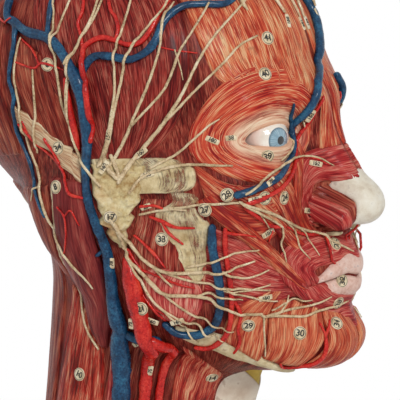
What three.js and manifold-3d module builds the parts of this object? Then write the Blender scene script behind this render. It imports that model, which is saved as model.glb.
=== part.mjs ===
// An anatomical teaching head: a life-size dissected head and neck that turns on a wooden stand.
// The skull cap lifts off, the two halves of the brain lift out and the larynx pulls out.
// Units are millimetres and +Z is up. The face looks along +X, and the head's right side is -Y.
// The origin is the middle of the stand's underside, on the axis that the head turns about.
// Heads of this kind are pressed papier mache, with vessels and nerves laid on as cords.
import * as THREE from "three";
import { mergeVertices } from "three/addons/utils/BufferGeometryUtils.js";
import Module from "manifold-3d";

// Head sizes: face to back, side to side, and chin to crown
const HEAD_LENGTH = 194;
const HEAD_BREADTH = 152;
const HEAD_HEIGHT = 230;
const HEAD_TILT_DEGREES = 10;
const TILT_PIVOT_SHARES = [-0.07, 0, 0.32];

// Neck sizes, in the upright frame whose height zero is the chin
const NECK_TOP = 92;
const NECK_DROP = 96;
const NECK_FRONT_BACK_RADIUS = 45;
const NECK_SIDE_RADIUS = 51;
const NECK_AXIS_SET_BACK = 10;
const NECK_FLARE_SHARES = { side: 0.43, back: 0.09, foot: 0.31, lean: 0.6, footStart: 0.35 };
const NECK_RUN_SHARES = [-0.2, 1.2];
const SPINDLE_SET_BACK = 6;

// Shell, seam and clearance
const SKULL_WALL = 7;
const PIECE_GAP = 0.3;
const RUNNING_GAP = 0.3;
const CAP_SEAM_SHARE = 0.865;
const CUT_OVERRUN = 200;

// Brain, cavity and eyes
const BRAIN_CLEARANCE = 1.2;
const BRAIN_SPLIT = 1.6;
const BRAIN_LENGTH = 128;
const BRAIN_BREADTH = 97;
const BRAIN_FLOOR_SHARE = 0.53;
const BRAIN_CENTRE_SHARE = -0.03;
const CEREBELLUM_LENGTH = 56;
const CEREBELLUM_BREADTH = 84;
const CEREBELLUM_HEIGHT = 34;
const CEREBELLUM_PLACE_SHARES = [-0.17, 0, 0.478];
const EYE_RADIUS = 12.3;
const EYE_PLACE_SHARES = [0.378, 0.208, 0.5];

// Muscle plates let into the head, and cords laid on it
const PLATE_DEPTH = 3;
const PLATE_RELIEF = 0.3;
const PLATE_SPREAD_SHARE = 0.04;
const POCKET_OVERRUN = 4;
const CORD_SEAT = 0.4;
const NERVE_SEAT = 0.75;
const CORD_GAP = 0.35;
const VEIN_RADIUS = 2;
const ARTERY_RADIUS = 1.25;
const NERVE_RADIUS = 0.75;
const CORD_STEP = 9;
const NERVE_STEP = 12;
const PROBE_STEP = 2;
const BRANCH_REACH = 5;

// Larynx block, let into the front of the neck
const LARYNX_WIDTH = 38;
const LARYNX_HEIGHT = 62;
const LARYNX_DROP = 9;
const LARYNX_DEPTH = 13;
const LARYNX_PROUD = 5;
const LARYNX_CORNER = 12;

// Stand: felt, plinth, pillar, collar and spindle
const FELT_THICKNESS = 2;
const FELT_INSET = 6;
const PLINTH_RADIUS = 110;
const PLINTH_HEIGHT = 30;
const PILLAR_HEIGHT = 62;
const PILLAR_RADIUS = 34;
const COLLAR_RADIUS = 22;
const COLLAR_HEIGHT = 7;
const SPINDLE_RADIUS = 6;
const SPINDLE_IN_HEAD = 74;
const SPINDLE_IN_PILLAR = 40;
const SOCKET_WALL = 2.4;
const SOCKET_END_GAP = 3.6;

// Turned outlines, as shares of the piece's radius and height
const PLINTH_OUTLINE_SHARES = [
  [0, 0],
  [0.975, 0],
  [1, 0.1],
  [1, 0.4],
  [0.965, 0.52],
  [0.89, 0.56],
  [0.78, 0.68],
  [0.53, 0.74],
  [0.42, 0.9],
  [0.31, 1],
  [0, 1],
];
const PILLAR_OUTLINE_SHARES = [
  [1, 0.083],
  [0.8, 0.133],
  [0.7, 0.217],
  [0.44, 0.417],
  [0.44, 0.5],
  [0.6, 0.542],
  [0.6, 0.6],
  [0.46, 0.642],
  [0.53, 0.75],
  [0.7, 0.867],
  [0.76, 0.917],
  [0.76, 1],
];
const PLINTH_SECTOR_COUNT = 40;
const PILLAR_SECTOR_COUNT = 28;
const BAR_SECTOR_COUNT = 20;
const PIN_SECTOR_COUNT = 10;
const BALL_SECTOR_COUNT = 14;
const BALL_BELT_COUNT = 10;
const COLUMN_CURVE_COUNT = 12;
const CORNER_CURVE_COUNT = 4;
const HOOK_CURVE_COUNT = 6;
const WAY_POINT_COUNT = 8;

// Brass fastenings of the cap
const HOOK_AZIMUTH_DEGREES = 150;
const HOOK_LENGTH = 21;
const HOOK_WIDTH = 6;
const HOOK_THICKNESS = 1.6;
const HOOK_STAND_OFF = 1.3;
const HOOK_PIN_RADIUS = 1.5;
const HOOK_HEAD_RADIUS = 3;
const HOOK_HEAD_HEIGHT = 1.4;
const HOOK_PIN_ROOT = 5;
const HOOK_PIN_BELOW_SEAM = 9;
const HOOK_STUD_ABOVE_SEAM = 8;

// Head form: balls and tapered rods, in shares of length, breadth and height, as
// [kind, centre or start, radii or end, rod radii in shares of breadth, blend share, cut]
const FORM_SHARES = [
  ["ball", [-0.12, 0, 0.695], [0.37, 0.49, 0.305], null, 0],
  ["ball", [-0.08, 0, 0.51], [0.23, 0.44, 0.22], null, 0.14],
  ["ball", [0.13, 0, 0.615], [0.345, 0.425, 0.35], null, 0.22],
  ["ball", [0.21, 0, 0.36], [0.225, 0.365, 0.25], null, 0.16],
  ["ball", [0.22, 0, 0.19], [0.2, 0.27, 0.17], null, 0.14],
  ["rod", [0.06, 0.262, 0.185], [0.33, 0.12, 0.07], [0.1, 0.075], 0.14],
  ["rod", [-0.005, 0.36, 0.42], [0.055, 0.27, 0.2], [0.08, 0.095], 0.16],
  ["ball", [0.135, 0.265, 0.27], [0.09, 0.125, 0.12], null, 0.12],
  ["ball", [0.25, 0.215, 0.27], [0.11, 0.12, 0.1], null, 0.14],
  ["ball", [0.408, 0, 0.064], [0.072, 0.12, 0.062], null, 0.1],
  ["ball", [0.24, 0, 0.085], [0.17, 0.2, 0.065], null, 0.1],
  ["rod", [0.29, 0.315, 0.42], [0, 0.425, 0.455], [0.045, 0.032], 0.16],
  ["ball", [0.305, 0.255, 0.4], [0.095, 0.115, 0.075], null, 0.14],
  ["ball", [-0.03, 0.4, 0.43], [0.055, 0.07, 0.07], null, 0.12],
  ["ball", [-0.115, 0.37, 0.4], [0.065, 0.07, 0.085], null, 0.16],
  ["rod", [0.447, 0.07, 0.56], [0.365, 0.27, 0.568], [0.048, 0.045], 0.12],
  ["ball", [0.4, 0, 0.21], [0.09, 0.17, 0.085], null, 0.09],
  ["rod", [0.474, 0, 0.208], [0.405, 0.165, 0.186], [0.036, 0.018], 0.045],
  ["rod", [0.468, 0, 0.162], [0.4, 0.15, 0.178], [0.04, 0.018], 0.045],
  ["rod", [0.532, 0, 0.186], [0.425, 0.175, 0.182], [0.01, 0.007], 0.03, "cut"],
  ["rod", [0.515, 0, 0.118], [0.48, 0.1, 0.12], [0.03, 0.02], 0.09, "cut"],
  ["ball", [0.475, 0.215, 0.5], [0.085, 0.115, 0.046], null, 0.09, "cut"],
  ["rod", [0.438, 0, 0.52], [0.526, 0, 0.355], [0.042, 0.056], 0.1],
  ["ball", [0.545, 0, 0.328], [0.048, 0.068, 0.038], null, 0.05],
  ["ball", [0.497, 0.082, 0.31], [0.046, 0.044, 0.032], null, 0.035],
];
const NECK_BLEND_SHARE = 0.16;

// A point on the skin is named by an azimuth in degrees, 0 at the face and 90 at the right ear,
// and a share of the way from the crown, 0, to the foot of the neck, 1. Each station gives the
// share, the start of its ray in shares of length and height, and the ray's slope at the front
// and at the back, in degrees.
const STATION_SHARES = [
  [0, 0, 0.513, 90, 90],
  [0.32, 0, 0.513, 8, 8],
  [0.62, 0, 0.513, -52, -24],
  [0.72, 0, 0.435, -74, -22],
  [0.78, -0.072, 0.174, -50, -12],
  [1, -0.245, -0.42, -10, 10],
];
const RAY_SHARE = 0.9;
const TRACE_STEP_COUNT = 34;
const TRACE_RATE_SHARE = 0.75;
const SEAM_SEARCH_SHARES = [0, 0.32];
const SEAM_SEARCH_COUNT = 24;
const LIFT_PASS_COUNT = 8;
const CHORD_PROBE_SHARES = [0.25, 0.5, 0.75];

// Rings and sectors of the skin: finer on the face than behind
const RING_SHARES = [
  0.03, 0.07, 0.11, 0.15, 0.19, 0.23, 0.265, 0.295, 0.32, 0.34, 0.36, 0.38, 0.4, 0.42, 0.438,
  0.455, 0.47, 0.485, 0.5, 0.515, 0.53, 0.545, 0.56, 0.575, 0.59, 0.607, 0.625, 0.645, 0.67,
  0.695, 0.72, 0.745, 0.77, 0.8, 0.84, 0.89, 0.945, 1,
];
const SECTOR_DEGREES = [0, 5, 10, 15, 20, 26, 33, 41, 50, 60, 70, 80, 90, 101, 113, 127, 143, 161, 180];
const INNER_RING_SHARES = [0.05, 0.1, 0.15, 0.2, 0.25, 0.3, 0.35, 0.45, 0.6, 0.7];
const INNER_SECTOR_DEGREES = [0, 18, 36, 54, 72, 90, 108, 126, 144, 162, 180];

// Muscle plates: the front edge and the rear edge of each, as azimuths and shares, from top to foot
const PLATE_SHARES = {
  temporalis: [
    [[53, 0.17], [47, 0.22], [48, 0.27], [54, 0.32], [62, 0.365]],
    [[103, 0.17], [101, 0.22], [97, 0.27], [92, 0.32], [86, 0.365]],
  ],
  masseter: [
    [[51, 0.49], [50, 0.53], [51, 0.57], [53, 0.61], [57, 0.645]],
    [[66, 0.49], [71, 0.53], [75, 0.57], [77, 0.61], [75, 0.655]],
  ],
  parotid: [
    [[71, 0.4], [69, 0.44], [70, 0.475], [75, 0.51], [80.5, 0.555]],
    [[84, 0.4], [85, 0.44], [84, 0.475], [83.5, 0.51], [83, 0.555]],
  ],
  sternomastoid: [
    [[93, 0.42], [92.5, 0.48], [94, 0.54], [96, 0.6], [98, 0.66]],
    [[109, 0.42], [108, 0.48], [106, 0.54], [104, 0.6], [101, 0.66]],
  ],
  sternohyoid: [
    [[38, 0.805], [36, 0.84], [34, 0.88], [33, 0.93], [33, 0.97]],
    [[62, 0.805], [61, 0.84], [59, 0.88], [57, 0.93], [55, 0.97]],
  ],
};
const PLATE_COLUMN_COUNT = 4;
const PLATE_ROW_COUNT = 6;

// Cords: each tree's branches, as azimuth, share and girth in shares of the cord's own radius.
// Ways that meet are one tree.
const CAROTID_SHARES = [
  [[80.5, 0.6, 2], [80, 0.635, 3.1], [79.5, 0.67, 3.4], [79, 0.705, 2.9], [77.5, 0.74, 2.5],
    [75.5, 0.775, 2.4], [74, 0.82, 2.4], [72.5, 0.88, 2.4], [72, 0.96, 2.4]],
];
const VEIN_SHARES = {
  temporal_vein: [
    [[116, 0.178, 1], [112, 0.184, 1.05], [105, 0.194, 1.1], [97, 0.2, 1.15], [92, 0.212, 1.2],
      [88.5, 0.23, 1.35], [86, 0.248, 1.6], [85, 0.272, 1.6], [86, 0.3, 1.45], [87, 0.34, 1.25],
      [88, 0.39, 1.1], [88.5, 0.44, 1.05], [88.5, 0.49, 1.05], [88.5, 0.54, 1.15],
      [89, 0.59, 1.3], [90.5, 0.64, 1.5], [92, 0.69, 1.8], [91, 0.73, 2], [88.5, 0.76, 2.15],
      [86, 0.79, 2.2], [84.5, 0.83, 2.2], [83, 0.89, 2.2], [82, 0.96, 2.2]],
    [[86, 0.25, 1.2], [83.5, 0.236, 0.95], [79, 0.224, 0.9], [72.5, 0.227, 0.9], [66, 0.234, 0.9],
      [60, 0.23, 0.9], [56, 0.22, 0.9], [53, 0.206, 0.85], [49, 0.197, 0.85], [44, 0.193, 0.85],
      [38, 0.197, 0.85], [31, 0.204, 0.85], [26, 0.2, 0.8], [23, 0.188, 0.7]],
    [[111, 0.186, 0.9], [110.5, 0.205, 0.6], [112, 0.225, 0.55], [114, 0.242, 0.55], [113.5, 0.26, 0.5],
      [115, 0.28, 0.5], [116.5, 0.3, 0.5], [115.5, 0.33, 0.5], [114, 0.37, 0.5], [113, 0.42, 0.45],
      [111, 0.46, 0.45], [108.5, 0.5, 0.4]],
    [[96.5, 0.201, 0.8], [96.5, 0.185, 0.6], [96, 0.168, 0.6]],
    [[91, 0.726, 1.2], [85, 0.722, 1.1], [79.5, 0.71, 1.05], [76, 0.704, 1]],
  ],
  facial_vein: [
    [[48, 0.5, 0.95], [48.2, 0.54, 1], [47.5, 0.58, 1.05], [47.5, 0.615, 1.05], [49.5, 0.642, 1],
      [54, 0.658, 1], [60, 0.668, 1], [66, 0.672, 0.95], [70, 0.668, 0.9]],
  ],
  angular_vein: [
    [[7, 0.308, 1], [9.5, 0.325, 0.9], [11.5, 0.345, 0.85], [13, 0.365, 0.8], [15, 0.385, 0.8],
      [18, 0.405, 0.8], [22, 0.42, 0.8], [28, 0.43, 0.8], [35, 0.438, 0.85], [41, 0.445, 0.9]],
  ],
};
// The forehead's one vein crosses the middle and drains into the right angular vein
const FOREHEAD_VEIN_SHARES = [
  [[7, 0.308, 1], [2, 0.292, 1.05], [-3, 0.272, 1.1], [-7, 0.252, 1.15], [-10, 0.232, 1.2],
    [-9, 0.205, 1.15]],
  [[-10, 0.228, 0.9], [-15, 0.216, 0.75], [-17, 0.206, 0.9]],
];
const ARTERY_SHARES = {
  temporal_artery: [
    [[83.2, 0.219, 1], [80.5, 0.209, 1], [75.5, 0.205, 1], [71, 0.21, 1], [66, 0.218, 0.95],
      [61.5, 0.218, 0.95], [57.5, 0.209, 0.9], [54, 0.196, 0.9], [50, 0.185, 0.9], [46, 0.175, 0.85]],
    [[83, 0.218, 0.75], [83.5, 0.2, 0.7], [84.5, 0.186, 0.7], [82.5, 0.172, 0.65], [82.5, 0.16, 0.6]],
    [[70.5, 0.211, 0.8], [69, 0.199, 0.7], [69.5, 0.186, 0.7], [71.5, 0.173, 0.65], [71.5, 0.162, 0.6]],
  ],
  occipital_artery: [
    [[104, 0.32, 0.5], [99.5, 0.37, 0.6], [95.5, 0.42, 0.6], [94, 0.45, 0.6]],
    [[110, 0.3, 0.5], [107, 0.315, 0.5], [104, 0.32, 0.5]],
  ],
  facial_artery: [
    [[44.5, 0.5, 0.9], [44.6, 0.54, 0.95], [44, 0.58, 1], [43.7, 0.615, 1], [44.5, 0.642, 1],
      [48, 0.664, 1], [53, 0.681, 1], [58, 0.689, 0.9]],
  ],
  angular_artery: [
    [[6, 0.327, 0.5], [8, 0.347, 0.6], [9.5, 0.367, 0.65], [11.5, 0.387, 0.7], [14.5, 0.408, 0.75],
      [19, 0.427, 0.8], [26, 0.441, 0.85], [33, 0.451, 0.9], [39, 0.46, 0.85]],
  ],
  chin_artery: [
    [[13.5, 0.612, 0.6], [13, 0.624, 0.8], [14, 0.636, 0.85], [17.5, 0.645, 0.85], [22.5, 0.65, 0.7]],
    [[10, 0.612, 0.5], [11.5, 0.618, 0.6], [13, 0.625, 0.7]],
  ],
};
const NERVE_SHARES = {
  temporal_nerves: [
    [[82, 0.37, 1.3], [80, 0.4, 1.6], [76.5, 0.403, 1.4], [79, 0.365, 1.2]],
    [[82, 0.37, 1.3], [79, 0.29, 1.1], [74.5, 0.249, 1], [72.5, 0.225, 1], [69.5, 0.205, 1],
      [66.5, 0.185, 0.9], [64, 0.168, 0.8]],
    [[79.5, 0.368, 1.3], [77.5, 0.292, 1.1], [72.5, 0.252, 1], [67.5, 0.229, 1], [62.5, 0.212, 1],
      [56.5, 0.19, 0.9], [51, 0.175, 0.8]],
    [[79, 0.365, 1.3], [72.5, 0.32, 1.2], [66.5, 0.285, 1.1], [61.5, 0.262, 1], [56.5, 0.234, 1],
      [51.5, 0.2, 0.9]],
    [[76.5, 0.403, 1.4], [70, 0.363, 1.4], [62, 0.322, 1.3], [53.5, 0.288, 1.1], [44.5, 0.25, 1],
      [37.5, 0.225, 0.9], [30, 0.21, 0.8]],
    [[72.5, 0.32, 1.1], [62.5, 0.286, 1], [53, 0.254, 1], [49.5, 0.235, 1], [42, 0.215, 0.9],
      [36, 0.2, 0.8]],
    [[62, 0.322, 1.1], [50.5, 0.295, 1], [42.5, 0.276, 0.9], [32.5, 0.246, 0.9], [25, 0.236, 0.8]],
  ],
  facial_nerves: [
    [[83, 0.5, 1.2], [80, 0.555, 1.1], [73.5, 0.59, 1], [66, 0.592, 1], [54.5, 0.575, 1], [46, 0.586, 0.9],
      [40.5, 0.57, 0.9], [32, 0.56, 0.8]],
    [[54.5, 0.575, 0.9], [47, 0.55, 0.9], [36, 0.532, 0.8]],
    [[46, 0.586, 0.8], [36, 0.553, 0.8], [24, 0.525, 0.7]],
    [[82, 0.53, 1.2], [80.5, 0.595, 1.1], [74.5, 0.623, 1], [63.5, 0.628, 1], [48, 0.62, 0.9],
      [42, 0.612, 0.9], [34.5, 0.612, 0.8]],
    [[78, 0.61, 1], [69.5, 0.645, 1], [62, 0.653, 0.9], [54, 0.663, 0.8], [42, 0.648, 0.8]],
    [[63.5, 0.628, 0.8], [54, 0.64, 0.8], [41, 0.635, 0.7]],
  ],
  infraorbital_nerves: [
    [[43, 0.46, 0.9], [31, 0.488, 1.1], [20.5, 0.513, 0.9], [10, 0.528, 0.8]],
    [[43, 0.46, 0.9], [33, 0.446, 0.9], [24, 0.44, 0.8], [17, 0.43, 0.8]],
    [[31, 0.488, 0.8], [26.5, 0.515, 0.7], [26, 0.545, 0.7]],
    [[62, 0.478, 0.8], [52.5, 0.468, 0.9], [43, 0.46, 0.9]],
  ],
  mental_nerves: [
    [[33.5, 0.622, 0.9], [33, 0.64, 0.8], [33, 0.66, 0.7]],
    [[33.5, 0.622, 0.9], [21.5, 0.605, 0.8], [10.5, 0.586, 0.7]],
    [[28, 0.614, 0.8], [25, 0.587, 0.7]],
  ],
  occipital_nerves: [
    [[95, 0.17, 0.8], [94.5, 0.201, 0.9], [94, 0.228, 1], [94.2, 0.268, 1], [92.7, 0.303, 1],
      [90.5, 0.36, 1], [87, 0.4, 1.1], [83.5, 0.43, 1.2]],
    [[76, 0.165, 0.8], [78, 0.176, 0.9], [83.5, 0.203, 0.9], [88.5, 0.228, 1], [91, 0.268, 1],
      [92.7, 0.303, 1]],
  ],
  nape_nerve: [
    [[108.5, 0.2, 0.7], [110, 0.22, 0.8], [112, 0.25, 0.8], [112.5, 0.29, 0.8], [113, 0.33, 0.8],
      [110.5, 0.39, 0.9], [109, 0.445, 0.9], [106, 0.55, 0.9], [104, 0.62, 0.9], [99.5, 0.675, 0.8]],
  ],
};

// Colours, with roughness and metalness
const FINISHES = {
  skinned_muscle: [0xb23a2c, 0.42, 0],
  muscle: [0x9c2a22, 0.42, 0],
  gland: [0xd9c48f, 0.5, 0],
  cartilage: [0xe9dcc0, 0.45, 0],
  brain: [0xd8b5a2, 0.5, 0],
  eye: [0xe8e2d2, 0.2, 0],
  vein: [0x1f4468, 0.3, 0],
  artery: [0xc01f16, 0.3, 0],
  nerve: [0xd6c39a, 0.5, 0],
  ebonised_wood: [0x17110d, 0.35, 0],
  felt: [0x1f3a2a, 0.95, 0],
  brass: [0xb08a45, 0.35, 0.9],
  iron: [0x55575a, 0.4, 0.9],
};

const wasm = await Module();
wasm.setup();

const headSize = new THREE.Vector3(HEAD_LENGTH, HEAD_BREADTH, HEAD_HEIGHT);
const fromShares = (shares) => new THREE.Vector3(...shares).multiply(headSize);
const tiltPivot = fromShares(TILT_PIVOT_SHARES);
const tilt = new THREE.Matrix4()
  .makeTranslation(tiltPivot)
  .multiply(new THREE.Matrix4().makeRotationY(-THREE.MathUtils.degToRad(HEAD_TILT_DEGREES)))
  .multiply(new THREE.Matrix4().makeTranslation(tiltPivot.clone().negate()));
const untilt = tilt.clone().invert();
const liftAxis = new THREE.Vector3(0, 0, 1).transformDirection(tilt);

// Solids

function solidOf(geometry) {
  const bare = geometry.clone();
  bare.deleteAttribute("normal");
  bare.deleteAttribute("uv");
  const merged = mergeVertices(bare);
  return new wasm.Manifold(
    new wasm.Mesh({
      numProp: 3,
      vertProperties: new Float32Array(merged.attributes.position.array),
      triVerts: new Uint32Array(merged.index.array),
    }),
  );
}

function geometryOf(solid) {
  const { vertProperties, triVerts } = solid.getMesh();
  const geometry = new THREE.BufferGeometry();
  geometry.setAttribute("position", new THREE.Float32BufferAttribute(vertProperties, 3));
  geometry.setIndex([...triVerts]);
  geometry.computeVertexNormals();
  return geometry;
}

function geometryFrom(points, triangles) {
  const geometry = new THREE.BufferGeometry().setFromPoints(points);
  geometry.setIndex(triangles.flat());
  return geometry;
}

function joined(geometries) {
  return geometries.map(solidOf).reduce((whole, piece) => whole.add(piece));
}

// A closed body through rings of equal count, with a point at each end
function loft(rings, startPoint, endPoint) {
  const count = rings[0].length;
  const triangles = [];
  const at = (ring, index) => ring * count + (index % count);
  const start = rings.length * count;
  for (let index = 0; index < count; index++) {
    triangles.push([start, at(0, index + 1), at(0, index)]);
    triangles.push([start + 1, at(rings.length - 1, index), at(rings.length - 1, index + 1)]);
    for (let ring = 0; ring + 1 < rings.length; ring++) {
      triangles.push([at(ring, index), at(ring, index + 1), at(ring + 1, index)]);
      triangles.push([at(ring + 1, index), at(ring, index + 1), at(ring + 1, index + 1)]);
    }
  }
  return geometryFrom([...rings.flat(), startPoint, endPoint], triangles);
}

function middleOf(points) {
  const sum = points.reduce((total, point) => total.add(point), new THREE.Vector3());
  return sum.divideScalar(points.length);
}

// A closed body between an outer and an inner grid of points
function slab(outer, inner) {
  const rows = outer.length;
  const columns = outer[0].length;
  const at = (row, column) => row * columns + column;
  const under = (row, column) => rows * columns + at(row, column);
  const triangles = [];
  const quad = (a, b, c, d) => triangles.push([a, b, c], [a, c, d]);
  for (let row = 0; row + 1 < rows; row++) {
    for (let column = 0; column + 1 < columns; column++) {
      quad(at(row, column), at(row, column + 1), at(row + 1, column + 1), at(row + 1, column));
      quad(under(row, column), under(row + 1, column), under(row + 1, column + 1), under(row, column + 1));
    }
    quad(at(row, 0), at(row + 1, 0), under(row + 1, 0), under(row, 0));
    const last = columns - 1;
    quad(at(row + 1, last), at(row, last), under(row, last), under(row + 1, last));
  }
  for (let column = 0; column + 1 < columns; column++) {
    quad(at(0, column + 1), at(0, column), under(0, column), under(0, column + 1));
    const last = rows - 1;
    quad(at(last, column), at(last, column + 1), under(last, column + 1), under(last, column));
  }
  return geometryFrom([...outer.flat(), ...inner.flat()], triangles);
}

function box(lengths, centre, matrix) {
  const geometry = new THREE.BoxGeometry(...lengths);
  geometry.translate(...centre);
  return matrix ? geometry.applyMatrix4(matrix) : geometry;
}

function extruded(outline, depth, curveSegments) {
  return new THREE.ExtrudeGeometry(outline, { depth, bevelEnabled: false, curveSegments });
}

// A round bar or a turned shape about the Z axis
function turned(outline, sectors) {
  const points = outline.map(([radius, height]) => new THREE.Vector2(radius, height));
  return new THREE.LatheGeometry(points, sectors).rotateX(Math.PI / 2);
}

function rodAlong(from, direction, radius, length) {
  const geometry = turned([[0, 0], [radius, 0], [radius, length], [0, length]], PIN_SECTOR_COUNT);
  const turn = new THREE.Quaternion().setFromUnitVectors(new THREE.Vector3(0, 0, 1), direction);
  geometry.applyQuaternion(turn);
  return geometry.translate(from.x, from.y, from.z);
}

// The head's form as a distance field

function smoothMin(first, second, blend) {
  const reach = Math.max(blend - Math.abs(first - second), 0);
  return Math.min(first, second) - (blend > 0 ? (reach * reach) / (4 * blend) : 0);
}

function ballDistance(point, centre, radii) {
  const offset = point.clone().sub(centre).divide(radii);
  const near = offset.length();
  const far = offset.divide(radii).length();
  return far > 0 ? (near * (near - 1)) / far : -Math.min(radii.x, radii.y, radii.z);
}

function rodDistance(point, start, end, startRadius, endRadius) {
  const along = end.clone().sub(start);
  const offset = point.clone().sub(start);
  const share = THREE.MathUtils.clamp(offset.dot(along) / along.lengthSq(), 0, 1);
  const radius = THREE.MathUtils.lerp(startRadius, endRadius, share);
  return offset.addScaledVector(along, -share).length() - radius;
}

function neckDistance(point) {
  const upright = point.clone().applyMatrix4(tilt);
  const { side: spread, back, foot: flare, lean, footStart } = NECK_FLARE_SHARES;
  const down = THREE.MathUtils.clamp((NECK_TOP - upright.z) / (NECK_TOP + NECK_DROP), ...NECK_RUN_SHARES);
  const foot = Math.max(down - footStart, 0);
  const axisX = -NECK_AXIS_SET_BACK * (1 + lean * down);
  const radiusX = NECK_FRONT_BACK_RADIUS * (1 + back * down + flare * foot * foot);
  const radiusY = NECK_SIDE_RADIUS * (1 + spread * down * down);
  const x = (upright.x - axisX) / radiusX;
  const y = upright.y / radiusY;
  const near = Math.hypot(x, y);
  const far = Math.hypot(x / radiusX, y / radiusY);
  const wall = far > 0 ? (near * (near - 1)) / far : -radiusX;
  return Math.max(wall, upright.z - NECK_TOP);
}

const formPieces = FORM_SHARES.map(([kind, first, second, radii, blend, cut]) => {
  const a = fromShares(first);
  const b = fromShares(second);
  const distance =
    kind === "ball"
      ? (point) => ballDistance(point, a, b)
      : (point) => rodDistance(point, a, b, radii[0] * HEAD_BREADTH, radii[1] * HEAD_BREADTH);
  return { distance, blend: blend * HEAD_BREADTH, cut: cut === "cut" };
});

function formDistance(point) {
  const half = new THREE.Vector3(point.x, Math.abs(point.y), point.z);
  let total = Infinity;
  for (const { distance, blend, cut } of formPieces) {
    const own = distance(half);
    if (total === Infinity) total = own;
    else total = cut ? -smoothMin(-total, own, blend) : smoothMin(total, own, blend);
  }
  return smoothMin(total, neckDistance(point), NECK_BLEND_SHARE * HEAD_BREADTH);
}

// The ray through a named point of the skin, in the untilted head's frame
function rayAt(azimuth, share) {
  let index = 1;
  while (index < STATION_SHARES.length - 1 && share > STATION_SHARES[index][0]) index++;
  const [before, after] = [STATION_SHARES[index - 1], STATION_SHARES[index]];
  const mix = (share - before[0]) / (after[0] - before[0]);
  const between = before.map((value, column) => THREE.MathUtils.lerp(value, after[column], mix));
  const [, x, z, front, back] = between;
  const angle = THREE.MathUtils.degToRad(azimuth);
  const slope = THREE.MathUtils.degToRad(THREE.MathUtils.lerp(back, front, (1 + Math.cos(angle)) / 2));
  const direction = new THREE.Vector3(
    Math.cos(angle) * Math.cos(slope),
    -Math.sin(angle) * Math.cos(slope),
    Math.sin(slope),
  );
  return { start: new THREE.Vector3(x * HEAD_LENGTH, 0, z * HEAD_HEIGHT), direction };
}

// The point of the skin at an azimuth and a share, lifted off it, in the upright frame
function skinPoint(azimuth, share, lift) {
  const { start, direction } = rayAt(azimuth, share);
  let reach = RAY_SHARE * HEAD_LENGTH;
  for (let step = 0; step < TRACE_STEP_COUNT; step++) {
    const distance = formDistance(start.clone().addScaledVector(direction, reach)) - lift;
    reach -= distance * TRACE_RATE_SHARE;
  }
  return start.addScaledVector(direction, reach).applyMatrix4(tilt);
}

function skinNormal(point) {
  const place = point.clone().applyMatrix4(untilt);
  const nudge = PIECE_GAP;
  const slopes = ["x", "y", "z"].map((axis) => {
    const ahead = place.clone();
    const behind = place.clone();
    ahead[axis] += nudge;
    behind[axis] -= nudge;
    return formDistance(ahead) - formDistance(behind);
  });
  return new THREE.Vector3(...slopes).normalize().transformDirection(tilt);
}

// The whole head as one body, at a lift off the skin
function skinBody(lift, ringShares = RING_SHARES, sectorDegrees = SECTOR_DEGREES) {
  const azimuths = [...sectorDegrees.map((degrees) => -degrees).slice(1, -1).reverse(), ...sectorDegrees];
  const rings = ringShares.map((share) => azimuths.map((azimuth) => skinPoint(azimuth, share, lift)));
  const foot = middleOf(rings.at(-1));
  return solidOf(loft(rings, skinPoint(0, 0, lift), foot));
}

// Cords

const CAROTID = { radius: ARTERY_RADIUS, sides: 6, step: CORD_STEP, seat: CORD_SEAT };
const VEIN = { radius: VEIN_RADIUS, sides: 6, step: CORD_STEP, seat: CORD_SEAT };
const ARTERY = { radius: ARTERY_RADIUS, sides: 5, step: CORD_STEP, seat: CORD_SEAT };
const NERVE = { radius: NERVE_RADIUS, sides: 4, step: NERVE_STEP, seat: NERVE_SEAT };
const laidCords = [];

function smoothWay(way) {
  const points = way.map(([azimuth, share, girth]) => new THREE.Vector3(azimuth, share, girth));
  const curve = new THREE.CatmullRomCurve3(points, false, "catmullrom", 0.5);
  const rough = curve.getPoints(points.length * WAY_POINT_COUNT);
  const places = rough.map((point) => skinPoint(point.x, point.y, 0));
  const lengths = [0];
  for (let index = 1; index < places.length; index++) {
    lengths.push(lengths[index - 1] + places[index].distanceTo(places[index - 1]));
  }
  const at = (length) => {
    let index = 1;
    while (index < lengths.length - 1 && lengths[index] < length) index++;
    const mix = (length - lengths[index - 1]) / (lengths[index] - lengths[index - 1]);
    return rough[index - 1].clone().lerp(rough[index], THREE.MathUtils.clamp(mix, 0, 1));
  };
  return { at, length: lengths.at(-1) };
}

// The two neighbours in a rising table that a value lies between
function neighbours(table, value) {
  const last = table.length - 2;
  const index = table.findLastIndex((one) => one <= value);
  const start = THREE.MathUtils.clamp(index, 0, last);
  return table.slice(start, start + 2);
}

// The skin's flat faces stand a little proud of its form where it is hollow, by this much
function faceRise(azimuth, share) {
  const side = azimuth < 0 ? -1 : 1;
  const [high, low] = neighbours(RING_SHARES, share);
  const [near, far] = neighbours(SECTOR_DEGREES, Math.abs(azimuth)).map((degrees) => degrees * side);
  const corners = [[near, high], [far, high], [near, low], [far, low]].map((spot) => skinPoint(...spot, 0));
  const across = THREE.MathUtils.clamp((azimuth - near) / (far - near), 0, 1);
  const down = THREE.MathUtils.clamp((share - high) / (low - high), 0, 1);
  const top = corners[0].lerp(corners[1], across);
  const foot = corners[2].lerp(corners[3], across);
  return Math.max(0, formDistance(top.lerp(foot, down).applyMatrix4(untilt)));
}

// How high a cord must lie to pass over the cords laid before it
function liftOver(place, radius, seat, tree) {
  let lift = radius + seat;
  for (const cord of laidCords) {
    if (cord.tree === tree) continue;
    const clear = radius + cord.radius + CORD_GAP;
    const line = new THREE.Line3(cord.from, cord.to);
    const nearest = line.closestPointToPoint(place, true, new THREE.Vector3());
    const aside = nearest.distanceTo(place);
    if (aside < clear) lift = Math.max(lift, cord.lift + Math.sqrt(clear * clear - aside * aside));
  }
  return lift;
}

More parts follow.
